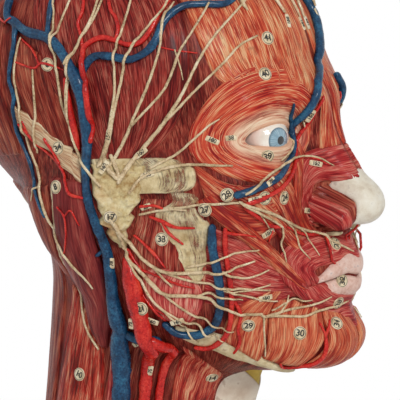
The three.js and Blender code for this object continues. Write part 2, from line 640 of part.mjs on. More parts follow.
// One cord along a way: rings of points round a line that lies on the skin
function cord(way, side, { radius: unitRadius, sides, step, seat }, tree, drawn) {
  const mirrored = way.map(([azimuth, share, girth]) => [azimuth * side, share, girth]);
  const { at, length } = smoothWay(mirrored);
  const count = Math.max(2, Math.ceil(length / step));
  const probes = count * Math.ceil(step / PROBE_STEP);
  const spots = [];
  for (let index = 0; index <= probes; index++) {
    const spot = at((length * index) / probes);
    const radius = spot.z * unitRadius;
    const place = skinPoint(spot.x, spot.y, 0);
    const lift = liftOver(place, radius, seat + faceRise(spot.x, spot.y), tree);
    spots.push({ spot, radius, lift });
  }
  const perStep = probes / count;
  const line = [];
  for (let index = 0; index <= count; index++) {
    const middle = index * perStep;
    const near = spots.slice(Math.max(0, middle - perStep), middle + perStep + 1);
    const lift = Math.max(...near.map((one) => one.lift));
    const { spot, radius } = spots[middle];
    line.push({ spot, radius, seat, lift });
  }
  raiseOffSkin(line);
  line.forEach((one) => (one.point = skinPoint(one.spot.x, one.spot.y, one.lift)));
  joinEnd(line[0], drawn);
  joinEnd(line[count], drawn);
  for (let index = 0; index < count; index++) {
    drawn.push(new THREE.Line3(line[index].point, line[index + 1].point));
  }
  const rings = line.map(({ point, radius }, index) => {
    const ahead = line[Math.min(index + 1, count)].point;
    const behind = line[Math.max(index - 1, 0)].point;
    const along = ahead.clone().sub(behind).normalize();
    const out = skinNormal(point);
    out.addScaledVector(along, -out.dot(along)).normalize();
    const across = along.clone().cross(out);
    const ring = [];
    for (let corner = 0; corner < sides; corner++) {
      const angle = (2 * Math.PI * corner) / sides;
      const aside = across.clone().multiplyScalar(radius * Math.sin(angle));
      ring.push(point.clone().addScaledVector(out, radius * Math.cos(angle)).add(aside));
    }
    return ring;
  });
  for (let index = 0; index < line.length - 1; index++) {
    const [one, next] = [line[index], line[index + 1]];
    laidCords.push({
      tree,
      from: skinPoint(one.spot.x, one.spot.y, 0),
      to: skinPoint(next.spot.x, next.spot.y, 0),
      radius: Math.max(one.radius, next.radius),
      lift: Math.max(one.lift, next.lift),
    });
  }
  return loft(rings, line[0].point, line[count].point);
}

// An end that meets an earlier branch of its tree moves onto that branch's middle line
function joinEnd(end, drawn) {
  const places = drawn.map((stretch) => stretch.closestPointToPoint(end.point, true, new THREE.Vector3()));
  const near = places.filter((place) => place.distanceTo(end.point) < BRANCH_REACH);
  near.sort((first, second) => first.distanceTo(end.point) - second.distanceTo(end.point));
  if (near.length > 0) end.point = near[0];
}

// How far a point lies outside the skin and the eyes
function outsideDistance(point) {
  const half = new THREE.Vector3(point.x, Math.abs(point.y), point.z);
  return Math.min(formDistance(point), half.distanceTo(fromShares(EYE_PLACE_SHARES)) - EYE_RADIUS);
}

// A straight stretch between two rings may not cut the corner of a ridge, nor touch an eye
function raiseOffSkin(line) {
  for (let pass = 0; pass < LIFT_PASS_COUNT; pass++) {
    line.forEach((one) => (one.point = skinPoint(one.spot.x, one.spot.y, one.lift)));
    for (let index = 0; index < line.length - 1; index++) {
      const [one, next] = [line[index], line[index + 1]];
      for (const share of CHORD_PROBE_SHARES) {
        const chord = one.point.clone().lerp(next.point, share).applyMatrix4(untilt);
        const wanted = THREE.MathUtils.lerp(one.radius, next.radius, share) + one.seat;
        const short = wanted - outsideDistance(chord);
        if (short > 0) {
          one.lift += short / 2;
          next.lift += short / 2;
        }
      }
    }
  }
}

function cordTree(branches, side, kind, tree) {
  const drawn = [];
  return joined(branches.map((way) => cord(way, side, kind, tree, drawn)));
}

// Muscle plates and their pockets

function plateGrid([frontEdge, rearEdge], side, spread, lift) {
  const curves = [frontEdge, rearEdge].map((edge) => {
    const points = edge.map(([azimuth, share]) => new THREE.Vector3(azimuth, share, 0));
    return new THREE.CatmullRomCurve3(points, false, "catmullrom", 0.5);
  });
  const rows = [];
  for (let row = 0; row <= PLATE_ROW_COUNT; row++) {
    const [front, rear] = curves.map((curve) => extendedPoint(curve, row / PLATE_ROW_COUNT, spread));
    const columns = [];
    for (let column = 0; column <= PLATE_COLUMN_COUNT; column++) {
      const share = THREE.MathUtils.lerp(-spread, 1 + spread, column / PLATE_COLUMN_COUNT);
      const spot = front.clone().lerp(rear, share);
      columns.push(skinPoint(spot.x * side, spot.y, lift));
    }
    rows.push(side > 0 ? columns : columns.reverse());
  }
  return rows;
}

// A point along a curve that is stretched a little past both ends
function extendedPoint(curve, share, spread) {
  if (share > 0 && share < 1) return curve.getPoint(share);
  const end = curve.getPoint(share);
  const tangent = curve.getTangent(share);
  const reach = curve.getPoint(1).distanceTo(curve.getPoint(0)) * spread;
  return end.addScaledVector(tangent, share > 0 ? reach : -reach);
}

function muscleSlab(edges, side, spread, outerLift, innerLift) {
  const outer = plateGrid(edges, side, spread, outerLift);
  const inner = plateGrid(edges, side, spread, innerLift);
  return slab(outer, inner);
}

// Planes and boxes in the tilted head

const seamHeight = CAP_SEAM_SHARE * HEAD_HEIGHT;
const slabAbove = (height) =>
  solidOf(box([CUT_OVERRUN * 2, CUT_OVERRUN * 2, CUT_OVERRUN], [0, 0, height + CUT_OVERRUN / 2], tilt));
const slabBelowNeck = () =>
  solidOf(box([CUT_OVERRUN * 2, CUT_OVERRUN * 2, CUT_OVERRUN], [0, 0, -NECK_DROP - CUT_OVERRUN / 2]));

// A column with an oval section, along the way that the cap lifts
function brainColumn(spare, floor) {
  const outline = new THREE.Shape();
  outline.absellipse(0, 0, BRAIN_LENGTH / 2 + spare, BRAIN_BREADTH / 2 + spare, 0, 2 * Math.PI);
  const geometry = extruded(outline, CUT_OVERRUN, COLUMN_CURVE_COUNT);
  geometry.translate(BRAIN_CENTRE_SHARE * HEAD_LENGTH, 0, floor);
  return solidOf(geometry.applyMatrix4(tilt));
}

function ellipsoid(lengths, placeShares, spare) {
  const geometry = new THREE.SphereGeometry(1, BALL_SECTOR_COUNT, BALL_BELT_COUNT);
  geometry.scale(...lengths.map((length) => length / 2 + spare));
  const place = fromShares(placeShares);
  geometry.translate(place.x, place.y, place.z);
  return solidOf(geometry.applyMatrix4(tilt));
}

function eyeBall(side, spare) {
  const [x, y, z] = EYE_PLACE_SHARES;
  const size = [2 * EYE_RADIUS, 2 * EYE_RADIUS, 2 * EYE_RADIUS];
  return ellipsoid(size, [x, -y * side, z], spare);
}

const floorHeight = BRAIN_FLOOR_SHARE * HEAD_HEIGHT;
const cerebellumTop = floorHeight - BRAIN_CLEARANCE;
const skin = skinBody(0);
const innerSkin = skinBody(-SKULL_WALL, INNER_RING_SHARES, INNER_SECTOR_DEGREES);
const brainSkin = skinBody(-SKULL_WALL - BRAIN_CLEARANCE, INNER_RING_SHARES, INNER_SECTOR_DEGREES);

// Larynx: a block with round corners let into the neck, with a proud front
const larynxFloorX = -NECK_AXIS_SET_BACK + NECK_FRONT_BACK_RADIUS - LARYNX_DEPTH;

function larynxColumn(spare) {
  const width = LARYNX_WIDTH / 2 + spare;
  const top = spare - LARYNX_DROP;
  const foot = -LARYNX_DROP - LARYNX_HEIGHT - spare;
  const corner = LARYNX_CORNER;
  const outline = new THREE.Shape();
  outline.moveTo(-width + corner, foot);
  outline.lineTo(width - corner, foot);
  outline.absarc(width - corner, foot + corner, corner, -Math.PI / 2, 0, false);
  outline.lineTo(width, top - corner);
  outline.absarc(width - corner, top - corner, corner, 0, Math.PI / 2, false);
  outline.lineTo(-width + corner, top);
  outline.absarc(-width + corner, top - corner, corner, Math.PI / 2, Math.PI, false);
  outline.lineTo(-width, foot + corner);
  outline.absarc(-width + corner, foot + corner, corner, Math.PI, Math.PI * 1.5, false);
  const geometry = extruded(outline, CUT_OVERRUN, CORNER_CURVE_COUNT);
  geometry.rotateX(Math.PI / 2).rotateZ(Math.PI / 2);
  return solidOf(geometry.translate(larynxFloorX - spare, 0, 0));
}

// Hook places, on the skin below and above the seam

const hookFrame = (side) => {
  const share = seamShare(HOOK_AZIMUTH_DEGREES * side);
  const seat = skinPoint(HOOK_AZIMUTH_DEGREES * side, share, 0);
  const normal = skinNormal(seat);
  const up = liftAxis.clone().addScaledVector(normal, -liftAxis.dot(normal)).normalize();
  return { seat, normal, up };
};

// The share at which the skin meets the seam, found by halving
function seamShare(azimuth) {
  let [high, low] = SEAM_SEARCH_SHARES;
  for (let step = 0; step < SEAM_SEARCH_COUNT; step++) {
    const middle = (high + low) / 2;
    const height = skinPoint(azimuth, middle, 0).applyMatrix4(untilt).z;
    if (height > seamHeight) high = middle;
    else low = middle;
  }
  return (high + low) / 2;
}

function pinWithHead({ seat, normal, up }, along) {
  const foot = seat.clone().addScaledVector(up, along).addScaledVector(normal, -HOOK_PIN_ROOT);
  const reach = HOOK_PIN_ROOT + HOOK_STAND_OFF + HOOK_THICKNESS + 2 * PIECE_GAP;
  const headFoot = foot.clone().addScaledVector(normal, reach);
  return {
    foot,
    headFoot,
    geometry: joined([
      rodAlong(foot, normal, HOOK_PIN_RADIUS, reach + HOOK_HEAD_HEIGHT / 2),
      rodAlong(headFoot, normal, HOOK_HEAD_RADIUS, HOOK_HEAD_HEIGHT),
    ]),
    reach,
  };
}

// The hook: a flat strap with an eye at the pin and a crook that opens to one side
function hookStrap(frame, pin, side) {
  const reach = HOOK_PIN_BELOW_SEAM + HOOK_STUD_ABOVE_SEAM;
  const half = HOOK_WIDTH / 2;
  const hole = HOOK_PIN_RADIUS + RUNNING_GAP;
  const outline = new THREE.Shape();
  outline.moveTo(-half, 0);
  outline.absarc(0, 0, half, Math.PI, 2 * Math.PI, false);
  outline.lineTo(half, reach - hole);
  outline.lineTo(0, reach - hole);
  outline.absarc(0, reach, hole, -Math.PI / 2, Math.PI / 2, true);
  outline.lineTo(half, reach + hole);
  outline.lineTo(half, reach + hole + half / 2);
  outline.lineTo(half / 2, HOOK_LENGTH + hole);
  outline.lineTo(-half / 2, HOOK_LENGTH + hole);
  outline.lineTo(-half, reach + half);
  outline.lineTo(-half, 0);
  const eye = new THREE.Path();
  eye.absarc(0, 0, hole, 0, 2 * Math.PI, true);
  outline.holes.push(eye);
  const geometry = extruded(outline, HOOK_THICKNESS, HOOK_CURVE_COUNT);
  if (side < 0) mirrorAcross(geometry);
  // It hangs straight down from its pin
  const down = new THREE.Vector3(0, 0, -1);
  down.addScaledVector(frame.normal, -down.dot(frame.normal)).normalize();
  const across = down.clone().cross(frame.normal);
  const basis = new THREE.Matrix4().makeBasis(across, down, frame.normal);
  const seat = pin.headFoot.clone().addScaledVector(frame.normal, -HOOK_THICKNESS - PIECE_GAP);
  return geometry.applyMatrix4(basis).translate(seat.x, seat.y, seat.z);
}

// The mirror image turns every face inside out, so two corners of each change places
function mirrorAcross(geometry) {
  geometry.applyMatrix4(new THREE.Matrix4().makeScale(-1, 1, 1));
  const position = geometry.attributes.position;
  for (let index = 0; index < position.count; index += 3) {
    const second = new THREE.Vector3().fromBufferAttribute(position, index + 1);
    const third = new THREE.Vector3().fromBufferAttribute(position, index + 2);
    position.setXYZ(index + 1, third.x, third.y, third.z);
    position.setXYZ(index + 2, second.x, second.y, second.z);
  }
}

// The assembly

const model = new THREE.Group();
const stand = new THREE.Group();
const head = new THREE.Group();
model.add(stand, head);

const plinthTop = FELT_THICKNESS + PLINTH_HEIGHT;
const pillarTop = plinthTop + PILLAR_HEIGHT;
const collarTop = pillarTop + COLLAR_HEIGHT;
head.position.set(SPINDLE_SET_BACK, 0, collarTop + PIECE_GAP + NECK_DROP);

function addMesh(group, name, finish, shape) {
  const [color, roughness, metalness] = FINISHES[finish];
  const geometry = shape instanceof THREE.BufferGeometry ? shape : geometryOf(shape);
  const mesh = new THREE.Mesh(geometry, new THREE.MeshStandardMaterial({ color, roughness, metalness }));
  mesh.name = name;
  group.add(mesh);
  return mesh;
}

function buildStand() {
  const bore = SPINDLE_RADIUS + PIECE_GAP;
  const feltRadius = PLINTH_RADIUS - FELT_INSET;
  const feltTop = FELT_THICKNESS - PIECE_GAP;
  const felt = turned([[0, 0], [feltRadius, 0], [feltRadius, feltTop], [0, feltTop]], PLINTH_SECTOR_COUNT);
  addMesh(stand, "base_felt", "felt", felt);

  const plinth = turned(
    PLINTH_OUTLINE_SHARES.map(([radius, height]) => [radius * PLINTH_RADIUS, height * PLINTH_HEIGHT]),
    PLINTH_SECTOR_COUNT,
  );
  addMesh(stand, "base_plinth", "ebonised_wood", plinth).position.z = FELT_THICKNESS;

  const boreFloor = PILLAR_HEIGHT - SPINDLE_IN_PILLAR;
  const pillar = turned(
    [
      [0, PIECE_GAP],
      [PILLAR_RADIUS, PIECE_GAP],
      ...PILLAR_OUTLINE_SHARES.map(([radius, height]) => [radius * PILLAR_RADIUS, height * PILLAR_HEIGHT]),
      [bore, PILLAR_HEIGHT],
      [bore, boreFloor],
      [0, boreFloor],
    ],
    PILLAR_SECTOR_COUNT,
  );
  addMesh(stand, "stand_pillar", "ebonised_wood", pillar).position.z = plinthTop;

  const collar = turned(
    [
      [bore, PIECE_GAP],
      [COLLAR_RADIUS, PIECE_GAP],
      [COLLAR_RADIUS, COLLAR_HEIGHT / 2],
      [(COLLAR_RADIUS * 3) / 4, COLLAR_HEIGHT],
      [bore, COLLAR_HEIGHT],
      [bore, PIECE_GAP],
    ],
    PILLAR_SECTOR_COUNT,
  );
  addMesh(stand, "pillar_collar", "brass", collar).position.z = pillarTop;

  const length = SPINDLE_IN_PILLAR - PIECE_GAP + COLLAR_HEIGHT + SPINDLE_IN_HEAD;
  const shoulder = length - SPINDLE_RADIUS / 2;
  const spindle = turned(
    [[0, 0], [SPINDLE_RADIUS, 0], [SPINDLE_RADIUS, shoulder], [SPINDLE_RADIUS / 2, length], [0, length]],
    BAR_SECTOR_COUNT,
  );
  addMesh(stand, "spindle", "iron", spindle).position.z = pillarTop - SPINDLE_IN_PILLAR + PIECE_GAP;
}

function buildHead() {
  // The socket that the spindle turns in
  const bore = SPINDLE_RADIUS + RUNNING_GAP;
  const socketRadius = bore + SOCKET_WALL;
  const boreEnd = SPINDLE_IN_HEAD + SOCKET_END_GAP;
  const socketEnd = boreEnd + SOCKET_WALL;
  const socket = turned(
    [
      [bore, 0],
      [socketRadius, 0],
      [socketRadius, socketEnd],
      [0, socketEnd],
      [0, boreEnd],
      [bore, boreEnd],
      [bore, 0],
    ],
    BAR_SECTOR_COUNT,
  );
  socket.translate(-SPINDLE_SET_BACK, 0, -NECK_DROP);
  addMesh(head, "neck_socket", "brass", socket);
  const socketHole = turned(
    [
      [0, -CUT_OVERRUN],
      [socketRadius + PIECE_GAP, -CUT_OVERRUN],
      [socketRadius + PIECE_GAP, socketEnd + PIECE_GAP],
      [0, socketEnd + PIECE_GAP],
    ],
    BAR_SECTOR_COUNT,
  ).translate(-SPINDLE_SET_BACK, 0, -NECK_DROP);

  // The cap, and the hollow that it covers
  const capShell = skin.intersect(slabAbove(seamHeight + PIECE_GAP / 2)).subtract(innerSkin);
  let core = skin.subtract(slabAbove(seamHeight - PIECE_GAP / 2)).subtract(slabBelowNeck());
  const hollow = innerSkin.intersect(brainColumn(BRAIN_CLEARANCE, floorHeight));
  core = core.subtract(hollow).subtract(solidOf(socketHole));

  const size = [CEREBELLUM_LENGTH, CEREBELLUM_BREADTH, CEREBELLUM_HEIGHT];
  const cerebellum = ellipsoid(size, CEREBELLUM_PLACE_SHARES, 0);
  const nest = ellipsoid(size, CEREBELLUM_PLACE_SHARES, PIECE_GAP);
  addMesh(head, "cerebellum", "brain", cerebellum.subtract(slabAbove(cerebellumTop)));
  core = core.subtract(nest);

  for (const [name, side] of [["right", 1], ["left", -1]]) {
    addMesh(head, `eye_${name}`, "eye", eyeBall(side, 0));
    core = core.subtract(eyeBall(side, PIECE_GAP));
    for (const [muscle, edges] of Object.entries(PLATE_SHARES)) {
      const finish = muscle === "parotid" ? "gland" : "muscle";
      addMesh(head, `${muscle}_${name}`, finish, muscleSlab(edges, side, 0, PLATE_RELIEF, -PLATE_DEPTH));
      const pocket = muscleSlab(edges, side, PLATE_SPREAD_SHARE, POCKET_OVERRUN, -PLATE_DEPTH - PIECE_GAP);
      core = core.subtract(solidOf(pocket));
    }
  }

  // The larynx slides out forwards
  const proudSkin = skinBody(LARYNX_PROUD);
  addMesh(head, "larynx", "cartilage", larynxColumn(0).intersect(proudSkin));
  core = core.subtract(larynxColumn(PIECE_GAP));

  // Hooks turn on pins in the head and catch studs on the cap
  let cap = capShell;
  for (const [name, side] of [["right", 1], ["left", -1]]) {
    const frame = hookFrame(side);
    const pin = pinWithHead(frame, -HOOK_PIN_BELOW_SEAM);
    const stud = pinWithHead(frame, HOOK_STUD_ABOVE_SEAM);
    addMesh(head, `hook_pin_${name}`, "brass", pin.geometry);
    addMesh(head, `cap_stud_${name}`, "brass", stud.geometry);
    addMesh(head, `cap_hook_${name}`, "brass", hookStrap(frame, pin, side));
    const clear = HOOK_PIN_RADIUS + PIECE_GAP;
    const pinFoot = pin.foot.clone().addScaledVector(frame.normal, -PIECE_GAP);
    const studFoot = stud.foot.clone().addScaledVector(frame.normal, -PIECE_GAP);
    core = core.subtract(solidOf(rodAlong(pinFoot, frame.normal, clear, pin.reach)));
    cap = cap.subtract(solidOf(rodAlong(studFoot, frame.normal, clear, stud.reach)));
  }
  addMesh(head, "skull_cap", "skinned_muscle", cap);
  addMesh(head, "head_core", "skinned_muscle", core);

  // The brain's two halves fill the hollow and reach into the cap
  const whole = brainSkin.intersect(brainColumn(0, floorHeight + PIECE_GAP));
  for (const [name, side] of [["right", -1], ["left", 1]]) {
    const half = box(
      [CUT_OVERRUN * 2, CUT_OVERRUN, CUT_OVERRUN * 2],
      [0, (side * (CUT_OVERRUN + BRAIN_SPLIT)) / 2, HEAD_HEIGHT / 2],
    );
    addMesh(head, `brain_${name}`, "brain", whole.intersect(solidOf(half)));
  }
}

function buildCords() {
  for (const [name, side] of [["right", 1], ["left", -1]]) {
    const lay = (tables, finish, kind) => {
      for (const [tree, branches] of Object.entries(tables)) {
        const title = `${tree}_${name}`;
        const whole = title === "angular_vein_right" ? [...branches, ...FOREHEAD_VEIN_SHARES] : branches;
        addMesh(head, title, finish, cordTree(whole, side, kind, title));
      }
    };
    laidCords.length = 0;
    lay({ carotid_artery: CAROTID_SHARES }, "artery", CAROTID);
    lay(VEIN_SHARES, "vein", VEIN);
    lay(ARTERY_SHARES, "artery", ARTERY);
    lay(NERVE_SHARES, "nerve", NERVE);
  }
}

buildStand();
buildHead();
buildCords();

export default model;
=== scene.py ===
import math

import bmesh
import bpy
import numpy as np
from mathutils import Matrix, Vector, noise
from mathutils.bvhtree import BVHTree


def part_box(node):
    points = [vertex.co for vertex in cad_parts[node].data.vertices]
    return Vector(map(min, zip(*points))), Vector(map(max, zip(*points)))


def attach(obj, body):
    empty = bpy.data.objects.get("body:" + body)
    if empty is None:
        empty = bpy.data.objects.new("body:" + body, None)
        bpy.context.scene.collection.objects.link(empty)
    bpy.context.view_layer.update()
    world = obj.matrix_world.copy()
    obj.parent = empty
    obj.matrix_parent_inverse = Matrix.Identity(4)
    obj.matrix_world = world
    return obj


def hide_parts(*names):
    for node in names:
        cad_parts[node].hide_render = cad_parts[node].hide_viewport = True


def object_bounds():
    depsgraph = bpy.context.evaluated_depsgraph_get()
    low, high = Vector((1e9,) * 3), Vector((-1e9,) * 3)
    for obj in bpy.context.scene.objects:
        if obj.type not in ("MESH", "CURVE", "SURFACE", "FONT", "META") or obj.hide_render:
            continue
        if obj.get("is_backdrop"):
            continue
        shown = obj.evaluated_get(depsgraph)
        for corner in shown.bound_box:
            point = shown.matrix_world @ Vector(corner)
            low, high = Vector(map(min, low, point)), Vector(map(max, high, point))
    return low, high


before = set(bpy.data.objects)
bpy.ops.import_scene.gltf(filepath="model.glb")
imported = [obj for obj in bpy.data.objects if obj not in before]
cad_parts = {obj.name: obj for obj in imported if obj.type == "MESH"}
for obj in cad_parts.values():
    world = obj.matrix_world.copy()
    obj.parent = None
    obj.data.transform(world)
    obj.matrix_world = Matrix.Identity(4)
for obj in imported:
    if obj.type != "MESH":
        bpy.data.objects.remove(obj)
cad_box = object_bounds()
bpy.ops.object.select_all(action="DESELECT")

MM = .001
RIGHT, LEFT = 1, -1
SIDES = {"right": RIGHT, "left": LEFT}

# Head, neck and shell, as the solids are
HEAD_LENGTH, HEAD_BREADTH, HEAD_HEIGHT = 194.0, 152.0, 230.0
HEAD_SIZE = np.array([HEAD_LENGTH, HEAD_BREADTH, HEAD_HEIGHT])
HEAD_TILT = math.radians(10)
TILT_PIVOT = np.array([-.07, 0, .32]) * HEAD_SIZE
NECK_TOP, NECK_DROP = 92.0, 96.0
NECK_FRONT_BACK_RADIUS, NECK_SIDE_RADIUS, NECK_AXIS_SET_BACK = 45.0, 51.0, 10.0
SPINDLE_SET_BACK = 6.0
SKULL_WALL, PIECE_GAP, CAP_SEAM_SHARE = 7.0, .3, .865
BRAIN_CLEARANCE, BRAIN_SPLIT = 1.2, 1.6
BRAIN_LENGTH, BRAIN_BREADTH = 128.0, 97.0
BRAIN_FLOOR_SHARE, BRAIN_CENTRE_SHARE = .53, -.03
EYE_RADIUS, LID_RADIUS = 12.3, 13.7
EYE_PLACE = np.array([.378, .208, .5]) * HEAD_SIZE
SEAM = CAP_SEAM_SHARE * HEAD_HEIGHT
BRAIN_FLOOR = BRAIN_FLOOR_SHARE * HEAD_HEIGHT
HEAD_PLACE = np.array([SPINDLE_SET_BACK, 0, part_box("head_core")[0].z / MM + NECK_DROP])

# Balls and tapered rods: kind, centre or start, radii or end, rod radii, blend, cut, all in shares
FORM_SHARES = [
    ("ball", (-.12, 0, .695), (.37, .49, .305), None, 0, False),
    ("ball", (-.08, 0, .51), (.23, .44, .22), None, .14, False),
    ("ball", (.13, 0, .615), (.345, .425, .35), None, .22, False),
    ("ball", (.21, 0, .36), (.225, .365, .25), None, .16, False),
    ("ball", (.22, 0, .19), (.2, .27, .17), None, .14, False),
    ("rod", (.06, .262, .185), (.33, .12, .07), (.1, .075), .14, False),
    ("rod", (-.005, .36, .42), (.055, .27, .2), (.08, .095), .16, False),
    ("ball", (.135, .265, .27), (.09, .125, .12), None, .12, False),
    ("ball", (.25, .215, .27), (.11, .12, .1), None, .14, False),
    ("ball", (.408, 0, .064), (.072, .12, .062), None, .1, False),
    ("ball", (.24, 0, .085), (.17, .2, .065), None, .1, False),
    ("rod", (.29, .315, .42), (0, .425, .455), (.045, .032), .16, False),
    ("ball", (.305, .255, .4), (.095, .115, .075), None, .14, False),
    ("ball", (-.03, .4, .43), (.055, .07, .07), None, .12, False),
    ("ball", (-.115, .37, .4), (.065, .07, .085), None, .16, False),
    ("rod", (.447, .07, .56), (.365, .27, .568), (.048, .045), .12, False),
    ("ball", (.4, 0, .21), (.09, .17, .085), None, .09, False),
    ("rod", (.474, 0, .208), (.405, .165, .186), (.036, .018), .045, False),
    ("rod", (.468, 0, .162), (.4, .15, .178), (.04, .018), .045, False),
    ("rod", (.532, 0, .186), (.425, .175, .182), (.01, .007), .03, True),
    ("rod", (.515, 0, .118), (.48, .1, .12), (.03, .02), .09, True),
    ("ball", (.475, .215, .5), (.085, .115, .046), None, .09, True),
    ("rod", (.438, 0, .52), (.526, 0, .355), (.042, .056), .1, False),
    ("ball", (.545, 0, .328), (.048, .068, .038), None, .05, False),
    ("ball", (.497, .082, .31), (.046, .044, .032), None, .035, False),
    ("ball", (.522, .046, .279), (.02, .018, .012), None, .015, True),
]
NECK_BLEND_SHARE = .16
LID_BLEND = 3.5
STATION_SHARES = np.array([
    (0, 0, .513, 90, 90),
    (.32, 0, .513, 8, 8),
    (.62, 0, .513, -52, -24),
    (.72, 0, .435, -74, -22),
    (.78, -.072, .174, -50, -12),
    (1, -.245, -.42, -10, 10),
])


def length_of(vectors):
    return np.sqrt(np.einsum("...i,...i->...", vectors, vectors))


def smooth_min(first, second, blend):
    if blend <= 0:
        return np.minimum(first, second)
    reach = np.maximum(blend - np.abs(first - second), 0)
    return np.minimum(first, second) - reach * reach / (4 * blend)


def ball_distance(points, centre, radii):
    offset = (points - centre) / radii
    near = length_of(offset)
    far = length_of(offset / radii)
    return near * (near - 1) / np.maximum(far, 1e-9)


def rod_distance(points, start, end, radii):
    along = end - start
    share = np.clip((points - start) @ along / (along @ along), 0, 1)
    gap = length_of(points - start - share[..., None] * along)
    return gap - (radii[0] + (radii[1] - radii[0]) * share)


def tilted(points):
    """From the upright head's frame to the tilted one."""
    cosine, sine = math.cos(HEAD_TILT), math.sin(HEAD_TILT)
    q = points - TILT_PIVOT
    turned = np.stack([q[..., 0] * cosine - q[..., 2] * sine, q[..., 1],
                       q[..., 0] * sine + q[..., 2] * cosine], -1)
    return turned + TILT_PIVOT


def untilted(points):
    """From the tilted head's frame back to the upright one."""
    cosine, sine = math.cos(HEAD_TILT), math.sin(HEAD_TILT)
    q = points - TILT_PIVOT
    turned = np.stack([q[..., 0] * cosine + q[..., 2] * sine, q[..., 1],
                       q[..., 2] * cosine - q[..., 0] * sine], -1)
    return turned + TILT_PIVOT


def tilted_way(vectors):
    return tilted(vectors + TILT_PIVOT) - TILT_PIVOT


def neck_distance(points):
    place = tilted(points)
    down = np.clip((NECK_TOP - place[..., 2]) / (NECK_TOP + NECK_DROP), -.2, 1.2)
    foot = np.maximum(down - .35, 0)
    axis_x = -NECK_AXIS_SET_BACK * (1 + .6 * down)
    radius_x = NECK_FRONT_BACK_RADIUS * (1 + .09 * down + .31 * foot * foot)
    radius_y = NECK_SIDE_RADIUS * (1 + .43 * down * down)
    x, y = (place[..., 0] - axis_x) / radius_x, place[..., 1] / radius_y
    near = np.hypot(x, y)
    far = np.hypot(x / radius_x, y / radius_y)
    wall = near * (near - 1) / np.maximum(far, 1e-9)
    return np.maximum(wall, place[..., 2] - NECK_TOP)


def form_distance(points, lids=True):
    """How far each point of the upright head's frame lies outside the skin."""
    half = points.copy()
    half[..., 1] = np.abs(half[..., 1])
    total = None
    for kind, first, second, radii, blend, cut in FORM_SHARES:
        a, b = np.array(first) * HEAD_SIZE, np.array(second) * HEAD_SIZE
        if kind == "ball":
            own = ball_distance(half, a, b)
        else:
            own = rod_distance(half, a, b, np.array(radii) * HEAD_BREADTH)
        if total is None:
            total = own
        elif cut:
            total = -smooth_min(-total, own, blend * HEAD_BREADTH)
        else:
            total = smooth_min(total, own, blend * HEAD_BREADTH)
    if lids:
        lid = length_of(half - EYE_PLACE) - LID_RADIUS
        total = smooth_min(total, lid, LID_BLEND)
    return smooth_min(total, neck_distance(points), NECK_BLEND_SHARE * HEAD_BREADTH)


def rays(azimuth, share):
    """Starts and ways of the rays that name the places of the skin."""
    x, z, front, back = (np.interp(share, STATION_SHARES[:, 0], STATION_SHARES[:, k]) for k in range(1, 5))
    angle = np.radians(azimuth)
    slope = np.radians(back + (front - back) * (1 + np.cos(angle)) / 2)
    start = np.stack([x * HEAD_LENGTH, 0 * x, z * HEAD_HEIGHT], -1)
    way = np.stack([np.cos(angle) * np.cos(slope), -np.sin(angle) * np.cos(slope), np.sin(slope)], -1)
    return start, way


def trace(azimuth, share, reach, level, steps):
    start, way = rays(azimuth, share)
    for _ in range(steps):
        reach = reach - .75 * (form_distance(start + reach[..., None] * way) - level)
    return reach


class Atlas:
    """The skin, or a level under it, sampled once over azimuth and share, and read smoothly."""

    def __init__(self, level, azimuth_step, share_step, last_share=1.0):
        rough_a, rough_w = np.meshgrid(np.arange(0, 181, 2.0), np.linspace(0, last_share, 101), indexing="ij")
        rough = trace(rough_a, rough_w, np.full(rough_a.shape, .9 * HEAD_LENGTH), level, 30)
        self.azimuths = np.arange(0, 180 + azimuth_step / 2, azimuth_step)
        self.shares = np.linspace(0, last_share, round(last_share / share_step) + 1)
        across = np.array([np.interp(self.shares, rough_w[0], row) for row in rough])
        fine = np.array([np.interp(self.azimuths, rough_a[:, 0], column) for column in across.T]).T
        a, w = np.meshgrid(self.azimuths, self.shares, indexing="ij")
        self.reach = trace(a, w, fine, level, 12)
        start, way = rays(a, w)
        self.normals = self.slope(start + self.reach[..., None] * way)

    @staticmethod
    def slope(points):
        """The way out of the skin at each point."""
        out = np.zeros_like(points)
        for axis in range(3):
            nudge = np.zeros(3)
            nudge[axis] = PIECE_GAP
            out[..., axis] = form_distance(points + nudge) - form_distance(points - nudge)
        return out / np.maximum(np.linalg.norm(out, axis=-1, keepdims=True), 1e-9)

    def read(self, table, azimuth, share):
        """Cubic between the samples, and mirrored past the middle planes."""
        rows, columns = table.shape[:2]
        i = np.abs(azimuth) / (self.azimuths[1] - self.azimuths[0])
        j = np.clip(share / (self.shares[1] - self.shares[0]), 0, columns - 1)
        i0, j0 = np.floor(i).astype(int), np.floor(j).astype(int)
        total = 0
        for di, wi in enumerate(cubic_weights(i - i0), -1):
            row = np.abs(i0 + di)
            row = np.where(row > rows - 1, 2 * (rows - 1) - row, row)
            for dj, wj in enumerate(cubic_weights(j - j0), -1):
                column = np.clip(j0 + dj, 0, columns - 1)
                weight = wi * wj
                value = table[row, column]
                total = total + (weight[..., None] * value if value.ndim > weight.ndim else weight * value)
        return total

    def place(self, azimuth, share, lift=.0):
        """Points and outward ways, in the model's frame and in millimetres."""
        azimuth, share = np.broadcast_arrays(np.asarray(azimuth, float), np.asarray(share, float))
        azimuth = (azimuth + 180) % 360 - 180
        start, way = rays(np.abs(azimuth), share)
        points = start + self.read(self.reach, azimuth, share)[..., None] * way
        out = self.read(self.normals, azimuth, share)
        out = out / np.maximum(np.linalg.norm(out, axis=-1, keepdims=True), 1e-9)
        mirror = np.where(azimuth < 0, -1.0, 1.0)
        for vectors in (points, out):
            vectors[..., 1] *= mirror
        points = points + np.asarray(lift)[..., None] * out
        return tilted(points) + HEAD_PLACE, tilted_way(out)


